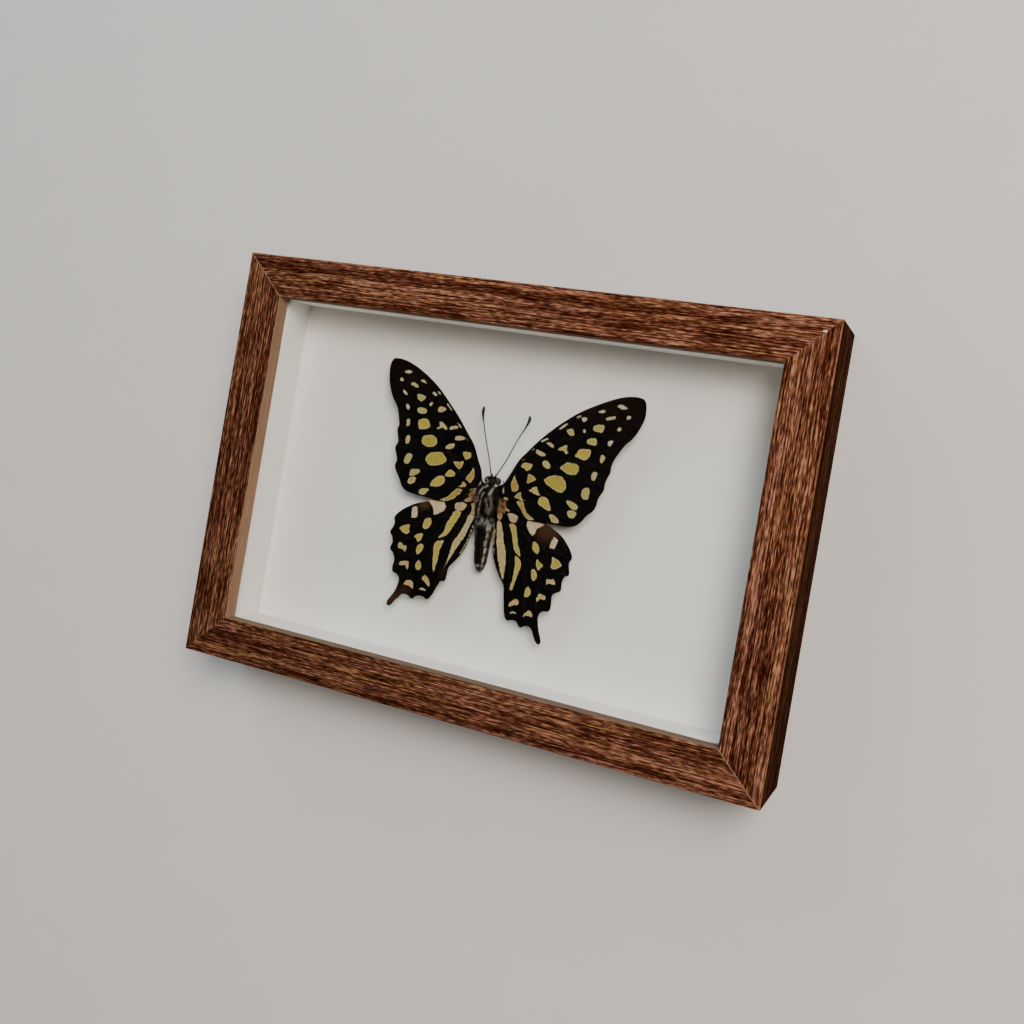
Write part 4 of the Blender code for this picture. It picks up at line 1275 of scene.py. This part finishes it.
def furMaterial(name, rough):
    made, shader, where = newMaterial(name, Roughness=rough, Specular_IOR_Level=0.12)
    scales = useGroup("scaleRows", {"Vector": where, "Size": 6000.0})
    tone = spread(scales["Mask"], 0.0, 1.0, 0.75, 1.15)
    tint = attributeNode(made, "bodyTint")["Color"]
    plug(shader.inputs, Base_Color=multiplied(tint, grey(tone)),
         Roughness=spread(scales["Mask"], 0.0, 1.0, rough - 0.08, rough + 0.1))
    bumped(shader, scales["Height"], 0.04 * mm, 0.7)
    return made


def eyeMaterial():
    made, shader, where = newMaterial("eyeFacets", Roughness=0.2, Coat_Weight=0.4)
    facets = addNode("ShaderNodeTexVoronoi", {"Vector": where, "Scale": 14000.0})
    plug(shader.inputs, Base_Color=mixColour(
        facets.outputs["Distance"], body["eye"], body["eyeDark"]))
    bumped(shader, facets.outputs["Distance"], 0.01 * mm)
    return made


def makeEye(side):
    x, y, z = body["head"]
    item = addBall("eye_left" if side < 0 else "eye_right",
                   (x + side * body["eyeSide"], y + 0.1, z + 0.1), body["eyeSize"], 40, 28)
    for vertex in item.data.vertices:                 # flatter where it meets the head
        inner = (vertex.co.x / mm - x) * side
        if inner < 1.1:
            vertex.co.x = (x + side * (1.1 + (inner - 1.1) * 0.5)) * mm
    return smoothBy(item, 180)


def tubeAlong(name, points, radii):
    # a round smooth limb through points, each with its own radius
    curve, line = newCurve(name, "3D", 8, points)
    curve.bevel_depth = mm
    curve.bevel_resolution = 5
    curve.use_fill_caps = True
    for point, radius in zip(line.bezier_points, radii):
        point.radius = radius
    return smoothBy(tidyNormals(meshFrom(name, curve)), 60)


antennae = {
    "left": [(-2.95, 7.0, 16.0), (-4.4, 11.8, 16.0), (-6.1, 17.1, 16.6), (-7.9, 22.9, 16.9),
             (-8.4, 24.8, 17.0), (-8.5, 26.2, 17.0), (-8.5, 27.4, 17.0)],
    "right": [(-1.75, 7.0, 16.0), (1.1, 13.2, 16.1), (3.3, 18.6, 16.7), (5.1, 22.5, 16.9),
              (5.9, 24.3, 17.0), (6.2, 25.7, 17.0), (6.1, 26.8, 17.0)],
    "radii": [0.18, 0.16, 0.16, 0.18, 0.36, 0.50, 0.20],
}
legs = {
    "pairs": {"front": (3.0, 3.4, 0.8), "middle": (0.2, 2.2, 0.9), "hind": (-1.6, -4.2, 0.8)},
    "radii": [0.34, 0.36, 0.22, 0.26, 0.16, 0.18, 0.10], "floor": 10.65,
}


def makeLeg(name, side, start, reach, bend):
    tip = legs["floor"] + 0.42
    points = [(bodyX + side * 2.5, start, tip + 1.7),
              (bodyX + side * (2.45 + bend * 0.6), start + reach * 0.15, tip + 1.6),
              (bodyX + side * (2.4 + bend), start + reach * 0.3, tip + 1.2),
              (bodyX + side * 2.75, start + reach * 0.48, tip + 0.6),
              (bodyX + side * 2.7, start + reach * 0.65, tip + 0.1),
              (bodyX + side * 2.2, start + reach * 0.8, tip),
              (bodyX + side * 1.6, start + reach, tip)]
    return tubeAlong(name, points, legs["radii"])


skin = makeBody()
furPiece = makeFur(skin)
finishPiece(skin, furMaterial("bodyScales", 0.6), ["body"])
finishPiece(furPiece, furMaterial("bodyHairs", 0.5))
eyeFinish = eyeMaterial()
horn = maskedMaterial("blackHorn", "scaleRows", {"Size": 5000.0}, body["horn"],
                      body["hornLight"], (0.3, 0.5), 0.02, Roughness=0.35,
                      Specular_IOR_Level=0.2)
for side in (-1, 1):
    finishPiece(makeEye(side), eyeFinish)
for side in ("left", "right"):
    name = "antenna_" + side
    finishPiece(tubeAlong(name, antennae[side], antennae["radii"]), horn, [name])
for pair, (start, reach, bend) in legs["pairs"].items():
    for side, sign in (("left", -1), ("right", 1)):
        name = "leg_%s_%s" % (pair, side)
        finishPiece(makeLeg(name, sign, start, reach, bend), horn, [name])
print("body done")


# Floor, light and camera

studio = {
    "floorTint": (0.62, 0.60, 0.57, 1.0), "floorSize": 6.0, "floorDrop": -0.05 * mm,
    "sky": (1.0, 0.965, 0.91, 1.0), "skyLow": 0.50, "skyHigh": 0.005, "skyRight": 0.25,
    "ceiling": (0.45, 0.8), "rightWall": (-0.1, 0.6),
    "keyPlace": (0.60, 0.50, 1.35), "keySize": 0.70, "keyPower": 33.0,
    "keyTint": (1.0, 0.92, 0.85),
    "fillPlace": (-0.9, 1.25, 1.0), "fillSize": 0.8, "fillPower": 10.5,
    "fillTint": (0.45, 0.70, 1.0),
}
view = {
    "place": (0.12586, 0.02066, 0.36800), "target": (-0.0372, 0.0184, 0.03175),
    "upHint": (-0.15342501, 0.98583749, 0.06771413), "lens": 44.116,
    "shiftX": 0.1353, "shiftY": -0.0918, "sensor": 36.0, "nearest": 0.01,
}


def makeFloor():
    clearSelection()
    bpy.ops.mesh.primitive_plane_add(size=studio["floorSize"],
                                     location=(0, 0, studio["floorDrop"]))
    item = bpy.context.object
    item.name = "floor"
    made, shader, where = newMaterial("paleFloor", Roughness=0.8)
    paper = useGroup("paperTooth", {"Vector": where, "Color": studio["floorTint"],
                                          "Grain": 500.0, "Cloud": 0.02})
    plug(shader.inputs, Base_Color=paper["Color"])
    item.data.materials.append(made)


def addLight(name, place, size, power, tint):
    lamp = bpy.data.lights.new(name, "AREA")
    lamp.size = size
    lamp.energy = power
    lamp.color = tint
    item = newObject(name, lamp)
    item.location = place
    item.rotation_euler = (Vector((0, 0, 0.02)) - item.location).to_track_quat(
        "-Z", "Y").to_euler()


def makeCamera():
    lens = bpy.data.cameras.new("camera")
    lens.lens = view["lens"]
    lens.sensor_width = view["sensor"]
    lens.shift_x, lens.shift_y = view["shiftX"], view["shiftY"]
    lens.clip_start = view["nearest"]
    item = newObject("camera", lens)
    place = Vector(view["place"])
    backward = (place - Vector(view["target"])).normalized()
    right = Vector(view["upHint"]).cross(backward).normalized()
    up = backward.cross(right)
    item.matrix_world = Matrix.Translation(place) @ Matrix(
        (right, up, backward)).transposed().to_4x4()
    bpy.context.scene.camera = item


def makeWorld():
    world = bpy.data.worlds.new("studio")
    bpy.context.scene.world = world
    world.use_nodes = True
    tree = world.node_tree
    sky = tree.nodes["Background"]
    sky.inputs["Color"].default_value = studio["sky"]
    # light walls under a dark ceiling, so that little shows in the glass from above
    way = tree.nodes.new("ShaderNodeTexCoord").outputs["Generated"]
    way = addNode("ShaderNodeSeparateXYZ", {0: way}).outputs
    low = spread(way[2], *studio["ceiling"], studio["skyLow"], studio["skyHigh"])
    right = spread(way[0], *studio["rightWall"], 1.0, studio["skyRight"])
    plug(sky.inputs, Strength=maths("MULTIPLY", low, right))


makeFloor()
for kind in ("key", "fill"):
    addLight(kind + "Light", studio[kind + "Place"], studio[kind + "Size"],
             studio[kind + "Power"], studio[kind + "Tint"])
makeCamera()
makeWorld()
print("studio done")
